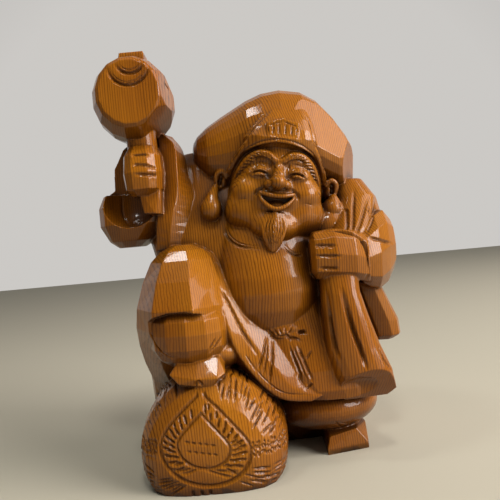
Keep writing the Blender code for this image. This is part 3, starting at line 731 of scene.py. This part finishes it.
# Cuts that show from a step away, as the points a groove runs through, its width and its depth.
def cloth_strokes():
    hat_creases = (
        [(21, -42, 255), (13, -45, 245), (3, -46, 234), (-3, -44, 227), (-12, -36, 213)],
        [(50, -40, 250), (53, -44, 239), (55.5, -46, 228), (59, -42, 214), (62, -34, 203)],
    )
    neck = (
        [(-17.5, -30, 172), (-13.5, -36, 162), (-6, -44, 155), (7, -51, 152)],
        [(22.5, -50, 152.5), (27.5, -50, 148), (33, -50, 146.5), (40, -50, 148.5)],
    )
    fingers = (
        [(42, -64, 152.4), (58, -66, 151)],
        [(41.5, -64, 145.2), (61, -66, 143.4)],
        [(45, -64, 136.4), (58.5, -66, 135)],
        [(-77, -52, 220.5), (-72, -52, 220), (-58, -50, 217)],
        [(-76, -52, 213), (-58, -50, 211)],
        [(-79, -50, 228), (-64, -50, 227)],
    )
    cuff = (
        [
            (47.5, -56, 163), (59.5, -58, 162), (72.5, -57, 156), (78.5, -56, 149.5),
            (80, -55, 140), (78.5, -52, 127),
        ],
    )
    elbow = ([(83, -51, 154.4), (92, -46, 151), (104, -35, 148)],)
    shoulder_pleats = (
        [(71, -24, 190), (72, -34, 180), (70, -46, 168), (67, -54, 160)],
        [(82, -22, 192), (78, -36, 179), (74.5, -48, 168), (71, -54, 159)],
        [(94, -22, 187), (81, -44, 167), (75, -54, 157)],
    )
    sack_pleats = (
        [(48.4, -60, 120), (48.8, -62, 97), (50.7, -62, 84), (54, -62, 73)],
        [(59, -64, 121), (64, -65, 94), (68, -65, 79), (71, -64, 66)],
    )
    tassels = (
        [(6, -52, 92), (-3, -60, 70)],
        [(10, -52, 89), (4, -60, 60)],
        [(19.5, -55, 86.5), (24.7, -58, 68), (30, -58, 53)],
        [(26, -55, 86), (34.8, -58, 58)],
    )
    trim = ([(-21, -57, 129), (-18, -57, 120), (-11, -58, 98), (-1.5, -58, 79)],)
    behind = []
    for foot_x, foot_z in ((-42, 150), (-22, 118), (8, 104), (40, 112), (64, 140)):
        behind.append([(74, 30, 214), (0.35 * foot_x + 42, 80, 182), (foot_x, 90, foot_z)])
    for fold_x in (-52, -26, 2, 30, 56):
        behind.append([(fold_x * 0.8, 80, 98), (fold_x, 84, 70), (fold_x * 1.1, 84, 42)])
    behind.append([(-62, 40, 37), (-30, 80, 37), (14, 84, 37), (58, 80, 37), (80, 40, 37)])
    wide = [(path, 4.4, 2.0) for path in hat_creases]
    wide += [(path, 3.4, 1.6) for path in shoulder_pleats]
    wide += [(path, 4.6, 3.0) for path in sack_pleats + cuff]
    wide += [(path, 7.0, 2.2) for path in behind]
    narrow = [(path, 3.2, 1.6) for path in fingers + elbow]
    narrow += [(path, 2.8, 1.6) for path in neck + tassels + trim]
    return wide + narrow


def emblem_point(scale, angle):
    """A point of the onion outline on the bale's end, which is pointed at the top."""
    centre_x, centre_z, half_width, below, above = -41.5, 31.0, 30.0, 24.5, 38.0
    across, along = math.cos(angle), math.sin(angle)
    reach = below * along
    if along > 0:
        fullness = 0.35 if across > 0 else 0.45
        reach = above * (fullness * along + (1 - fullness) * (1 - abs(across)) ** 1.4)
    aside = half_width * across * scale
    return (centre_x + aside, -86, centre_z + reach * scale - EMBLEM_TILT * aside)


def emblem_ring(scale):
    return [emblem_point(scale, math.tau * step / 32 + math.pi / 2) for step in range(33)]


def bale_strokes():
    return [(emblem_ring(1.0), 3.2, 1.5), (emblem_ring(0.56), 2.8, 1.3)]


def mallet_strokes():
    strokes = []
    for centre_x, centre_z, radius, spread in ((-72.4, 293.5, 10.3, 68), (-73.8, 289.5, 14.4, 84)):
        arc = []
        for step in range(-6, 7):
            angle = math.radians(step * spread / 6)
            arc.append((centre_x + radius * math.sin(angle), -55, centre_z - radius * math.cos(angle)))
        strokes.append((arc, 3.2, 2.0))
    return strokes


def carved(mesh, strokes):
    """Strokes of (points, width, depth) cut into the skin as V grooves that run out at their ends."""
    shape = bmesh.new()
    shape.from_mesh(mesh)
    skin = BVHTree.FromBMesh(shape)
    shape.free()
    count = len(mesh.vertices)
    places = np.empty(count * 3)
    mesh.vertices.foreach_get("co", places)
    places = places.reshape(-1, 3)
    normals = np.empty(count * 3)
    mesh.vertices.foreach_get("normal", normals)
    normals = normals.reshape(-1, 3)
    sunk = np.zeros(count)
    for points, width, depth in strokes:
        path = np.array([skin.find_nearest(place)[0] for place in curve_through(points, 8)])
        low = path.min(axis=0) - width
        high = path.max(axis=0) + width
        near = np.flatnonzero(((places > low) & (places < high)).all(axis=1))
        starts = path[:-1]
        steps = path[1:] - starts
        offset = places[near][:, None] - starts[None]
        share = (offset * steps).sum(axis=2) / ((steps**2).sum(axis=1) + 1e-9)
        share = np.clip(share, 0, 1)
        gaps = np.linalg.norm(offset - share[..., None] * steps, axis=2)
        nearest = gaps.argmin(axis=1)
        rows = np.arange(len(near))
        run = (nearest + share[rows, nearest]) / len(starts)
        closed = np.linalg.norm(path[0] - path[-1]) < width
        taper = 1.0 if closed else np.minimum(1, 0.12 + 3.6 * np.minimum(run, 1 - run))
        groove = depth * taper * np.clip(1 - 2 * gaps[rows, nearest] / width, 0, 1)
        sunk[near] = np.maximum(sunk[near], groove)
    mesh.vertices.foreach_set("co", (places - normals * sunk[:, None]).ravel())
    return mesh


def joined(forms):
    """All the forms in one mesh, still overlapping."""
    shape = bmesh.new()
    for form in forms:
        shape.from_mesh(form)
    mesh = bpy.data.meshes.new("forms")
    shape.to_mesh(mesh)
    shape.free()
    return mesh


def union(mesh, voxel):
    """One skin round all the forms."""

    def setup(holder):
        remesh = holder.modifiers.new("skin", "REMESH")
        remesh.mode = "VOXEL"
        remesh.voxel_size = voxel

    return evaluated(mesh, setup)


def thinned(mesh, triangles):
    """The mesh brought down to a number of triangles."""
    mesh.calc_loop_triangles()
    ratio = triangles / len(mesh.loop_triangles)

    def setup(holder):
        decimate = holder.modifiers.new("thin", "DECIMATE")
        decimate.ratio = ratio

    return evaluated(mesh, setup)


def seated(mesh):
    """The underside cut flat at the floor, sizes turned into metres."""
    shape = bmesh.new()
    shape.from_mesh(mesh)
    everything = shape.verts[:] + shape.edges[:] + shape.faces[:]
    cutting = bmesh.ops.bisect_plane(
        shape, geom=everything, plane_co=(0, 0, 0), plane_no=(0, 0, 1), clear_inner=True
    )
    rim = [e for e in cutting["geom_cut"] if isinstance(e, bmesh.types.BMEdge)]
    bmesh.ops.edgeloop_fill(shape, edges=rim)
    bmesh.ops.triangulate(shape, faces=shape.faces)
    bmesh.ops.scale(shape, vec=(MM, MM, MM), verts=shape.verts)
    middle_x, middle_y = MIDDLE
    bmesh.ops.translate(shape, vec=(-middle_x * MM, -middle_y * MM, 0), verts=shape.verts)
    result = bpy.data.meshes.new("carving")
    shape.to_mesh(result)
    shape.free()
    return result


# The fine cuts, each as the points it runs through, its width and its depth.
ROPE_RIGHT = ((-12, -85), (-2.5, -81), (6, -72), (12, -60), (14.5, -40), (14.5, -10), (14, 20), (12, 38))
ROPE_LEFT = ((-73, -82), (-80, -73), (-85.5, -60), (-87.5, -40), (-87.5, -10), (-87, 20), (-84, 38))
ROPE_HEIGHTS = ((19.5, 31.5), (25, 37))
END_OF_STRAW = 150.0


def bale_at(run, angle):
    """A point of the bale's skin at a distance along it from the middle of its front end."""
    rows = np.array(BALE_PROFILE)
    reach = rows[:, 1] * BALE_HALF_WIDTH
    steps = np.hypot(np.diff(rows[:, 0]), np.diff(reach))
    runs = reach[0] + np.concatenate([[0], np.cumsum(steps)])
    y, scale, lift = (np.interp(run, runs, rows[:, column]) for column in range(3))
    return bale_point(y, scale, lift, angle)


def within_emblem(point, scale):
    """Whether a point of the bale's end lies inside the onion outline at a scale."""
    x, _, z = point
    inside = False
    ring = emblem_ring(scale)
    for (x1, _, z1), (x2, _, z2) in zip(ring, ring[1:]):
        if (z1 > z) != (z2 > z) and x < x1 + (z - z1) / (z2 - z1) * (x2 - x1):
            inside = not inside
    return inside


def on_rope(points):
    """Whether a cut would run into the rope on either side of the bale."""
    heights = [z for _, _, z in points]
    low, high = ROPE_HEIGHTS[0] if points[0][0] > BALE_CENTRE else ROPE_HEIGHTS[1]
    return min(heights) < high + 1.5 and max(heights) > low - 1.5


def straw_cuts():
    """Short cuts along the straw, from the front end's rim back over the bale."""
    chance = random.Random(11)
    strokes = []
    rows = 92
    for row in range(rows):
        angle = math.tau * (row + chance.uniform(-0.25, 0.25)) / rows
        run = 20 + chance.uniform(0, 7)
        while run < END_OF_STRAW:
            length = chance.uniform(9, 19)
            sway = chance.uniform(-0.05, 0.05)
            points = [bale_at(run + length * t, angle + sway * t) for t in (0, 0.5, 1)]
            run += length + chance.uniform(1.0, 4.0)
            width = chance.uniform(1.3, 2.1)
            on_end = any(within_emblem(point, 1.05) and point[1] < -68 for point in points)
            if not on_end and not on_rope(points) and min(z for _, _, z in points) > 1:
                strokes.append((points, width, width * 0.8))
    return strokes


def emblem_cuts():
    """Cuts between the two onion outlines, rows of dashes inside and notches at the floor."""
    chance = random.Random(5)
    strokes = [(emblem_ring(0.93), 1.5, 0.8)]
    rays = 56
    for ray in range(rays):
        angle = math.tau * (ray + chance.uniform(-0.2, 0.2)) / rays
        turn = 0.16 * math.cos(angle)
        reach = chance.uniform(0.16, 0.28)
        inner = 0.6 if ray % 2 else 0.95 - reach
        points = [emblem_point(inner, angle), emblem_point(inner + reach, angle + turn)]
        if math.sin(angle) > -0.8:
            strokes.append((points, 2.2, 1.6))
    veins = (
        ((-45.5, 18.2), (-52, 15.8), (-58, 15.6)),
        ((-48, 18.7), (-56, 17.3), (-64, 18.6)),
        ((-60, 16.5), (-65, 19.5)),
        ((-44, 17.9), (-34, 13.5), (-24.7, 10.2)),
        ((-37, 16.1), (-29, 14.4), (-21, 13.9)),
        ((-33, 18.5), (-25, 17.2), (-19, 18)),
    )
    strokes += [([(x, -87, z) for x, z in vein], 2.2, 1.2) for vein in veins]
    for height, start in ((35.4, -53.1), (29.3, -52.1)):
        for dash in range(5):
            x, z = start + 4.1 * dash, height - 0.85 * dash
            strokes.append(([(x, -88, z), (x + 2.9, -88, z - 0.6)], 1.9, 1.1))
    for x in (-50.5, -45, -39.5):
        strokes.append(([(x, -84, 0), (x, -86, 4)], 3.0, 2.0))
    return strokes


def rope_cuts():
    """The straw rope round the bale: two edges and a twist of crossing cuts between them."""
    chance = random.Random(3)
    strokes = []
    for course, (low_z, high_z) in zip((ROPE_RIGHT, ROPE_LEFT), ROPE_HEIGHTS):
        low = curve_through([(x, y, low_z) for x, y in course], 6)
        high = curve_through([(x, y, high_z) for x, y in course], 6)
        strokes += [([tuple(p) for p in low], 2.6, 1.6), ([tuple(p) for p in high], 2.6, 1.6)]
        for i in range(len(low) - 1):
            for share in (0.0, 0.5):
                start = low[i] * (1 - share) + low[i + 1] * share
                end = high[i] * (1 - share) + high[i + 1] * share
                rise = chance.uniform(0.12, 0.3)
                while rise < 0.8:
                    tilt = chance.uniform(-0.9, 1.6)
                    first = start + (end - start) * rise
                    second = start + (end - start) * (rise + 0.16) + (low[i + 1] - low[i]) * tilt * 0.4
                    strokes.append(([tuple(first), tuple(second)], 1.9, 1.1))
                    rise += chance.uniform(0.2, 0.34)
    return strokes


def on_head(points):
    return [HEAD @ Vector(point) for point in points]


def hair_cuts():
    """Brow hairs, beard strands and the lines at the corners of the eyes."""
    strokes = []
    arch = curve_through(BROW[1:], 3)
    for side in (-1, 1):
        for i in range(1, len(arch)):
            x, y, z, radius = arch[i]
            ahead = Vector((x - arch[i - 1][0], 0, z - arch[i - 1][2])).normalized()
            lean = Vector((ahead.x * 0.85 - ahead.z * 0.53, 0, ahead.z * 0.85 + ahead.x * 0.53))
            low = Vector((x, y - 4, z)) - lean * radius * 0.9
            high = Vector((x, y - 4, z)) + lean * radius * 0.9
            hair = [(side * point.x, point.y, point.z) for point in (low, high)]
            strokes.append((on_head(hair), 1.4, 1.1))
        for line in range(3):
            drop = 3.0 * line
            corner = [(side * (24.5 + line), -34, 8.5 - drop), (side * 30, -28, 6.5 - drop * 1.15)]
            strokes.append((on_head(corner), 1.2, 0.8))
    for strand in range(-3, 4):
        lock = [(strand * 1.8, -50, -14), (strand * 2.4, -50, -25), (strand * 1.8, -51, -34), (strand * 0.6, -47, -41)]
        strokes.append((on_head(lock), 1.4, 0.9))
    return strokes


def face_cuts():
    """Lids, nostrils, the corners of the mouth and the hollows of the ears."""
    strokes = []
    below = ((-6.5, -2.2), (0, -3.4), (7.0, -2.6))
    above = ((-8.0, 1.2), (-3.5, 5.0), (2.5, 5.3), (9.5, 0.4))
    for side in (-1, 1):
        for line, width, depth in ((below, 1.3, 0.7), (above, 1.5, 0.9)):
            lid = [(side * (EYE_ASIDE + x), FACE_FRONT, EYES + z) for x, z in line]
            strokes.append((on_head(lid), width, depth))
        nostril = [(side * 2.4, -49, NOSE_TIP - 5.2), (side * 6.0, -46, NOSE_TIP - 4.4)]
        strokes.append((on_head(nostril), 2.6, 1.8))
        corner = [(side * MOUTH_HALF, -44, LIPS + 5.6), (side * (MOUTH_HALF + 1.8), -42, LIPS + 3.0)]
        strokes.append((on_head(corner), 3.2, 1.6))
        dimple = [(side * 20, -38, LIPS - 0.5), (side * 25.5, -35, LIPS - 1.0)]
        strokes.append((on_head(dimple), 1.2, 0.5))
        hollow = [(side * 41.5, -12, 11), (side * 42.5, -12, 7.5), (side * 42, -12, 4.5)]
        strokes.append((on_head(hollow), 3.6, 2.4))
    return strokes


def hat_cuts():
    """Pleats and rim of the crest, and the line along the band."""
    strokes = []
    for x, top in ((-6.3, 47.6), (-2.2, 49), (2.4, 49), (6.8, 47.8)):
        strokes.append((on_head([(x, -44, 40.6), (x, -44, top)]), 1.5, 1.0))
    rim = [(-10.3, -43, 40.5), (-10.2, -43, 46.6), (0, -43, 50.3), (10.4, -43, 47.4), (10.3, -43, 40.5)]
    for start, end in zip(rim, rim[1:]):
        strokes.append((on_head([start, end]), 1.3, 0.8))
    half = ((-34.6, -12, 10), (-31.6, -21, 18.4), (-26, -30, 28), (-20, -38, 32.4), (-12, -43, 35.4), (0, -45, 36.8))
    line = half + tuple((-x, y, z) for x, y, z in reversed(half[:-1]))
    strokes.append((on_head(line), 1.6, 0.9))
    return strokes


def robe_cuts():
    """Lines of the collar, trim, belt, tassels, sleeves and fingers."""
    collar = (
        [(-16, -31, 173), (-11.8, -37, 163.5), (-4.5, -45, 156.5), (8, -51, 154)],
        [(23.5, -50, 154.5), (28, -50, 150), (33, -50, 148.6), (39, -50, 150.5)],
    )
    trim = (
        [(-10.7, -60, 82.7), (-3.5, -60, 69)],
        [(-8, -60, 78), (0, -60, 66), (10, -60, 56), (19, -60, 52), (34, -58, 50)],
    )
    tassels = (
        [(7.9, -56, 91), (0.4, -60, 66)],
        [(22.6, -55, 86.3), (31, -58, 58.5)],
        [(29.6, -58, 54), (34.4, -58, 57.4)],
        [(36, -55, 79.6), (31.5, -55, 73.5)],
    )
    knot = ([(11, -54, 90.6), (17.6, -55, 89.2), (24, -54, 89.6), (30, -53, 86.4)],)
    pleats = (
        [(7.3, -50, 96), (10.7, -53, 91)],
        [(11.2, -50, 96.6), (14.2, -54, 91)],
        [(15, -52, 97), (16.6, -55, 91)],
        [(19.4, -52, 97), (19.4, -55, 91)],
        [(23.6, -50, 96.5), (22.6, -54, 91)],
    )
    holes = ([(-3, -48, 96), (3.8, -50, 97.2)], [(27.5, -50, 92), (33.5, -48, 92)])
    gather = (
        [(-73.4, -66, 105), (-69.6, -70, 95), (-56.5, -72, 86)],
        [(-65.5, -71, 91.2), (-56.5, -72, 87.4)],
        [(-23.5, -68, 97.2), (-34, -72, 88)],
        [(-29.3, -70, 96.8), (-34.8, -72, 90.6)],
    )
    sleeves = (
        [(94, -28, 182), (89.6, -40, 170), (80.5, -52, 158)],
        [(81, -60, 81), (83, -59, 69), (87.5, -57, 59.5)],
        [(-96, -8, 205), (-95, -14, 190), (-90, -22, 180)],
        [(-110, -22, 183), (-100, -30, 172), (-86, -33, 169), (-70, -34, 178)],
    )
    trousers = (
        [(49, -44, 26), (55, -35, 16)],
        [(44, -39, 20), (53, -36, 15)],
        [(52, -44, 24), (60, -38, 18)],
    )
    groups = ((collar, 1.6, 0.9), (trim, 1.4, 0.8), (tassels, 2.0, 1.2), (knot, 2.8, 1.8), (pleats, 1.7, 1.2))
    groups += ((holes, 3.4, 2.8), (gather, 2.2, 1.3), (sleeves, 2.2, 1.1))
    groups += ((trousers, 1.8, 1.0),)
    return [(path, width, depth) for paths, width, depth in groups for path in paths]


def mallet_cuts():
    """Second edges of the arcs, and the nick in the barrel's side."""
    strokes = []
    for centre_x, centre_z, radius, spread in ((-72.4, 293.5, 7.8, 60), (-73.8, 289.5, 12.2, 80)):
        arc = []
        for step in range(-6, 7):
            angle = math.radians(step * spread / 6)
            arc.append((centre_x + radius * math.sin(angle), -55, centre_z - radius * math.cos(angle)))
        strokes.append((arc, 1.4, 0.8))
    strokes.append(([(-49, -35, 281), (-48, -22, 279)], 2.2, 1.2))
    return strokes


def showing(mesh, strokes, reach=5.0):
    """The strokes that lie on the skin, not inside another form."""
    shape = bmesh.new()
    shape.from_mesh(mesh)
    skin = BVHTree.FromBMesh(shape)
    shape.free()
    kept = []
    for points, width, depth in strokes:
        if all(skin.find_nearest(point)[3] < reach for point in points):
            kept.append((points, width, depth))
    return kept


# The wood: rings round an upright pith to the back right of the block, under an amber varnish.
PITH = (0.42, 0.07)
RING = 0.0018


class Nodes:
    """A short way to add and join a material's nodes."""

    def __init__(self, tree):
        self.tree = tree

    def add(self, kind, inputs=(), **settings):
        node = self.tree.nodes.new("ShaderNode" + kind)
        for name, value in settings.items():
            setattr(node, name, value)
        for name, value in dict(inputs).items():
            if isinstance(value, bpy.types.NodeSocket):
                self.tree.links.new(value, node.inputs[name])
            else:
                node.inputs[name].default_value = value
        return node

    def math(self, operation, first, second=0.0):
        node = self.add("Math", {0: first, 1: second}, operation=operation)
        return node.outputs[0]

    def ramp(self, value, stops):
        node = self.add("ValToRGB", {"Fac": value})
        elements = node.color_ramp.elements
        while len(elements) > 1:
            elements.remove(elements[-1])
        for i, (place, colour) in enumerate(stops):
            stop = elements[0] if i == 0 else elements.new(place)
            stop.position = place
            stop.color = (*colour, 1.0)
        return node.outputs["Color"]

    def mix(self, share, first, second, blend="MIX"):
        node = self.add("Mix", data_type="RGBA", blend_type=blend)
        for name, value in (("Factor_Float", share), ("A_Color", first), ("B_Color", second)):
            socket = next(s for s in node.inputs if s.identifier == name)
            if isinstance(value, bpy.types.NodeSocket):
                self.tree.links.new(value, socket)
            else:
                socket.default_value = value if name == "Factor_Float" else (*value, 1.0)
        return next(s for s in node.outputs if s.identifier == "Result_Color")

    def span(self, value, low, high, start=0.0, end=1.0):
        node = self.add("MapRange", {"Value": value, 1: low, 2: high, 3: start, 4: end})
        return node.outputs["Result"]

    def noise(self, vector, scale, detail=2.0, stretch=(1, 1, 1)):
        mapping = self.add("Mapping", {"Vector": vector, "Scale": stretch})
        node = self.add("TexNoise", {"Vector": mapping.outputs[0], "Scale": scale, "Detail": detail})
        return node.outputs["Fac"]


def varnished_wood():
    material = bpy.data.materials.new("varnished_wood")
    material.use_nodes = True
    shader = material.node_tree.nodes["Principled BSDF"]
    nodes = Nodes(material.node_tree)
    place = nodes.add("TexCoord").outputs["Object"]

    apart = nodes.add("SeparateXYZ", {0: place})
    from_x = nodes.math("SUBTRACT", apart.outputs["X"], PITH[0])
    from_y = nodes.math("SUBTRACT", apart.outputs["Y"], PITH[1])
    squares = nodes.math("ADD", nodes.math("POWER", from_x, 2.0), nodes.math("POWER", from_y, 2.0))
    radius = nodes.math("SQRT", squares)
    wave = nodes.noise(place, 16.0, 1.0, (1, 1, 0.3))
    radius = nodes.math("ADD", radius, nodes.math("MULTIPLY", wave, 0.012))
    shake = nodes.noise(place, 260.0, 1.0, (1, 1, 0.03))
    turns = nodes.math("ADD", nodes.math("DIVIDE", radius, RING), nodes.math("MULTIPLY", shake, 0.9))
    ring = nodes.math("FRACT", turns)
    late = nodes.ramp(
        ring, ((0.0, (0.08,) * 3), (0.55, (0.16,) * 3), (0.84, (1.0,) * 3), (0.93, (0.8,) * 3), (1.0, (0.08,) * 3))
    )
    strong = nodes.span(nodes.noise(place, 34.0, 2.0, (1, 1, 0.12)), 0.3, 0.7, 0.45, 1.0)
    late = nodes.math("MULTIPLY", late, strong)
    fibre = nodes.noise(place, 1500.0, 2.0, (1, 1, 0.03))
    broad = nodes.noise(place, 13.0, 3.0, (1, 1, 0.5))

    early = nodes.mix(nodes.span(broad, 0.3, 0.7), (0.52, 0.190, 0.0085), (0.35, 0.105, 0.0040))
    wood = nodes.mix(nodes.math("MULTIPLY", late, 0.95), early, (0.062, 0.0145, 0.001))
    wood = nodes.mix(nodes.span(fibre, 0.35, 0.75, 0.0, 0.28), wood, (0.16, 0.046, 0.003))

    # Painted shade in grooves and crevices: a short occlusion test mixes in a near-black brown. It stands for the
    # shade there and for the darker varnish that gathers in them. The same mask also roughens the varnish below.
    shade = nodes.add("AmbientOcclusion", {"Distance": 0.007}, samples=6).outputs["AO"]
    deep = nodes.span(shade, 0.35, 0.92, 0.92, 0.0)
    wood = nodes.mix(deep, wood, (0.016, 0.004, 0.0008))
    # Painted shade in recesses: a wide occlusion test darkens hollows such as the sleeve's bowl and the sack's mouth
    # toward dark brown.
    hollow = nodes.add("AmbientOcclusion", {"Distance": 0.045}, samples=6).outputs["AO"]
    wood = nodes.mix(nodes.span(hollow, 0.2, 0.88, 0.85, 0.0), wood, (0.05, 0.0135, 0.0012))
    surface = nodes.add("NewGeometry").outputs
    # Painted shade on undersides: the more a surface faces the floor, the more it is mixed toward dark brown, up to 60
    # percent.
    upward = nodes.add("SeparateXYZ", {0: surface["Normal"]}).outputs["Z"]
    wood = nodes.mix(nodes.span(upward, 0.15, -0.6, 0.0, 0.6), wood, (0.05, 0.0135, 0.0012))
    edge = nodes.span(surface["Pointiness"], 0.54, 0.66, 0.0, 0.35)
    wood = nodes.mix(edge, wood, (0.60, 0.26, 0.02))
    material.node_tree.links.new(wood, shader.inputs["Base Color"])

    smear = nodes.noise(place, 55.0, 3.0)
    rough = nodes.math("ADD", nodes.span(smear, 0.3, 0.7, 0.26, 0.38), nodes.math("MULTIPLY", late, 0.06))
    rough = nodes.math("ADD", rough, nodes.math("MULTIPLY", deep, 0.25))
    material.node_tree.links.new(rough, shader.inputs["Roughness"])
    shader.inputs["Specular IOR Level"].default_value = 0.12
    shader.inputs["Coat Weight"].default_value = 0.45
    shader.inputs["Coat Roughness"].default_value = 0.08
    shader.inputs["Coat IOR"].default_value = 1.5

    grain = nodes.math("ADD", nodes.math("MULTIPLY", late, 0.8), nodes.math("MULTIPLY", fibre, 0.5))
    fine = nodes.add("Bump", {"Height": grain, "Strength": 0.35, "Distance": 0.00012})
    hand = nodes.noise(place, 75.0, 1.0)
    soft = nodes.add("Bump", {"Height": hand, "Strength": 0.3, "Distance": 0.0009, "Normal": fine.outputs[0]})
    material.node_tree.links.new(soft.outputs[0], shader.inputs["Normal"])
    return material


def plain(name, colour, roughness):
    material = bpy.data.materials.new(name)
    material.use_nodes = True
    shader = material.node_tree.nodes["Principled BSDF"]
    shader.inputs["Base Color"].default_value = (*colour, 1.0)
    shader.inputs["Roughness"].default_value = roughness
    return material


def flat_facets(holder):
    """Shading that follows the large faces, so chisel facets look flat."""
    weighted = holder.modifiers.new("facets", "WEIGHTED_NORMAL")
    weighted.mode = "FACE_AREA"
    weighted.weight = 70


def one_skin(mesh):
    """The mesh's largest skin alone, without the crumbs that lie loose inside it."""
    shape = bmesh.new()
    shape.from_mesh(mesh)
    left = set(shape.verts)
    skins = []
    while left:
        skin, ends = [], [left.pop()]
        while ends:
            vert = ends.pop()
            skin.append(vert)
            beyond = {edge.other_vert(vert) for edge in vert.link_edges} & left
            left -= beyond
            ends += beyond
        skins.append(skin)
    skins.sort(key=len)
    loose = [vert for skin in skins[:-1] for vert in skin]
    bmesh.ops.delete(shape, geom=loose, context="VERTS")
    shape.to_mesh(mesh)
    shape.free()
    return mesh


def carving():
    """The whole figure at a fine step, in the place of the solid."""
    forms = [bale(), robe_lap()]
    for group in (raised_leg, body, planted_foot, raised_arm, mallet, lowered_arm, head, hat):
        forms += group()
    mesh = union(joined(forms), VOXEL)
    coarse = face_strokes() + cloth_strokes() + bale_strokes() + mallet_strokes()
    fine = straw_cuts() + emblem_cuts() + rope_cuts() + hair_cuts() + face_cuts()
    fine += hat_cuts() + robe_cuts() + mallet_cuts()
    mesh = carved(mesh, coarse + showing(mesh, fine))
    mesh = seated(one_skin(thinned(mesh, TRIANGLES)))
    mesh.shade_smooth()
    mesh = evaluated(mesh, flat_facets)
    mesh.materials.append(varnished_wood())
    figure = bpy.data.objects.new("carving", mesh)
    bpy.context.scene.collection.objects.link(figure)
    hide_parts("daikoku_figure")
    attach(figure, "root")
    return figure


# The view of the photograph: level, close, and leaning a little to the left.
EYE = (-MIDDLE[0] * MM, -0.4375 - MIDDLE[1] * MM, 0.158)
LEAN = 5.2
FOCAL_PIXELS, FRAME_PIXELS, CENTRE_ROW = 550.0, 500.0, 243.0


def camera():
    data = bpy.data.cameras.new("camera")
    data.sensor_width = 36.0
    data.lens = data.sensor_width * FOCAL_PIXELS / FRAME_PIXELS
    data.shift_y = (CENTRE_ROW - FRAME_PIXELS / 2) / FRAME_PIXELS
    data.clip_start = 0.01
    eye = bpy.data.objects.new("camera", data)
    upright = Matrix.Rotation(math.radians(90), 4, "X")
    eye.matrix_world = Matrix.Translation(EYE) @ upright @ Matrix.Rotation(math.radians(-LEAN), 4, "Z")
    bpy.context.scene.collection.objects.link(eye)
    bpy.context.scene.camera = eye


def lamp(name, place, aim, size, power, colour=(1, 1, 1)):
    data = bpy.data.lights.new(name, "AREA")
    data.shape = "RECTANGLE"
    data.size, data.size_y = size
    data.energy = power
    data.color = colour
    light = bpy.data.objects.new(name, data)
    light.location = place
    light.rotation_euler = (Vector(aim) - Vector(place)).to_track_quat("-Z", "Y").to_euler()
    bpy.context.scene.collection.objects.link(light)


def studio():
    """A pale floor, a pale surround and soft lights."""
    shape = bmesh.new()
    bmesh.ops.create_grid(shape, x_segments=2, y_segments=2, size=3.0)
    mesh = bpy.data.meshes.new("floor")
    shape.to_mesh(mesh)
    shape.free()
    mesh.materials.append(plain("pale_floor", (0.58, 0.55, 0.43), 0.8))
    floor = bpy.data.objects.new("floor", mesh)
    bpy.context.scene.collection.objects.link(floor)
    world = bpy.data.worlds.new("surround")
    world.use_nodes = True
    nodes = Nodes(world.node_tree)
    background = world.node_tree.nodes["Background"]
    background.inputs["Color"].default_value = (1.0, 0.97, 0.93, 1.0)
    toward = nodes.add("SeparateXYZ", {0: nodes.add("TexCoord").outputs["Generated"]})
    brightness = nodes.span(toward.outputs["Y"], 0.4, 0.88, 0.13, 0.60)
    world.node_tree.links.new(brightness, background.inputs["Strength"])
    bpy.context.scene.world = world
    middle = (0, 0, 0.14)
    lamp("over_toe", (0.05, -0.47, 0.99), (-0.03, -0.07, 0.08), (0.15, 0.13), 2.0, (1.0, 0.98, 0.95))
    lamp("over_knee", (-0.31, -0.13, 1.0), (-0.05, -0.07, 0.14), (0.11, 0.11), 1.0, (1.0, 0.98, 0.95))
    lamp("right_window", (2.04, -1.10, 0.96), middle, (1.40, 1.40), 58.0, (1.0, 0.95, 0.92))
    lamp("high_window", (1.58, -0.22, 1.43), middle, (1.60, 1.60), 22.0, (1.0, 0.90, 0.88))
    bpy.context.scene.view_settings.view_transform = "Standard"


carving()
camera()
studio()
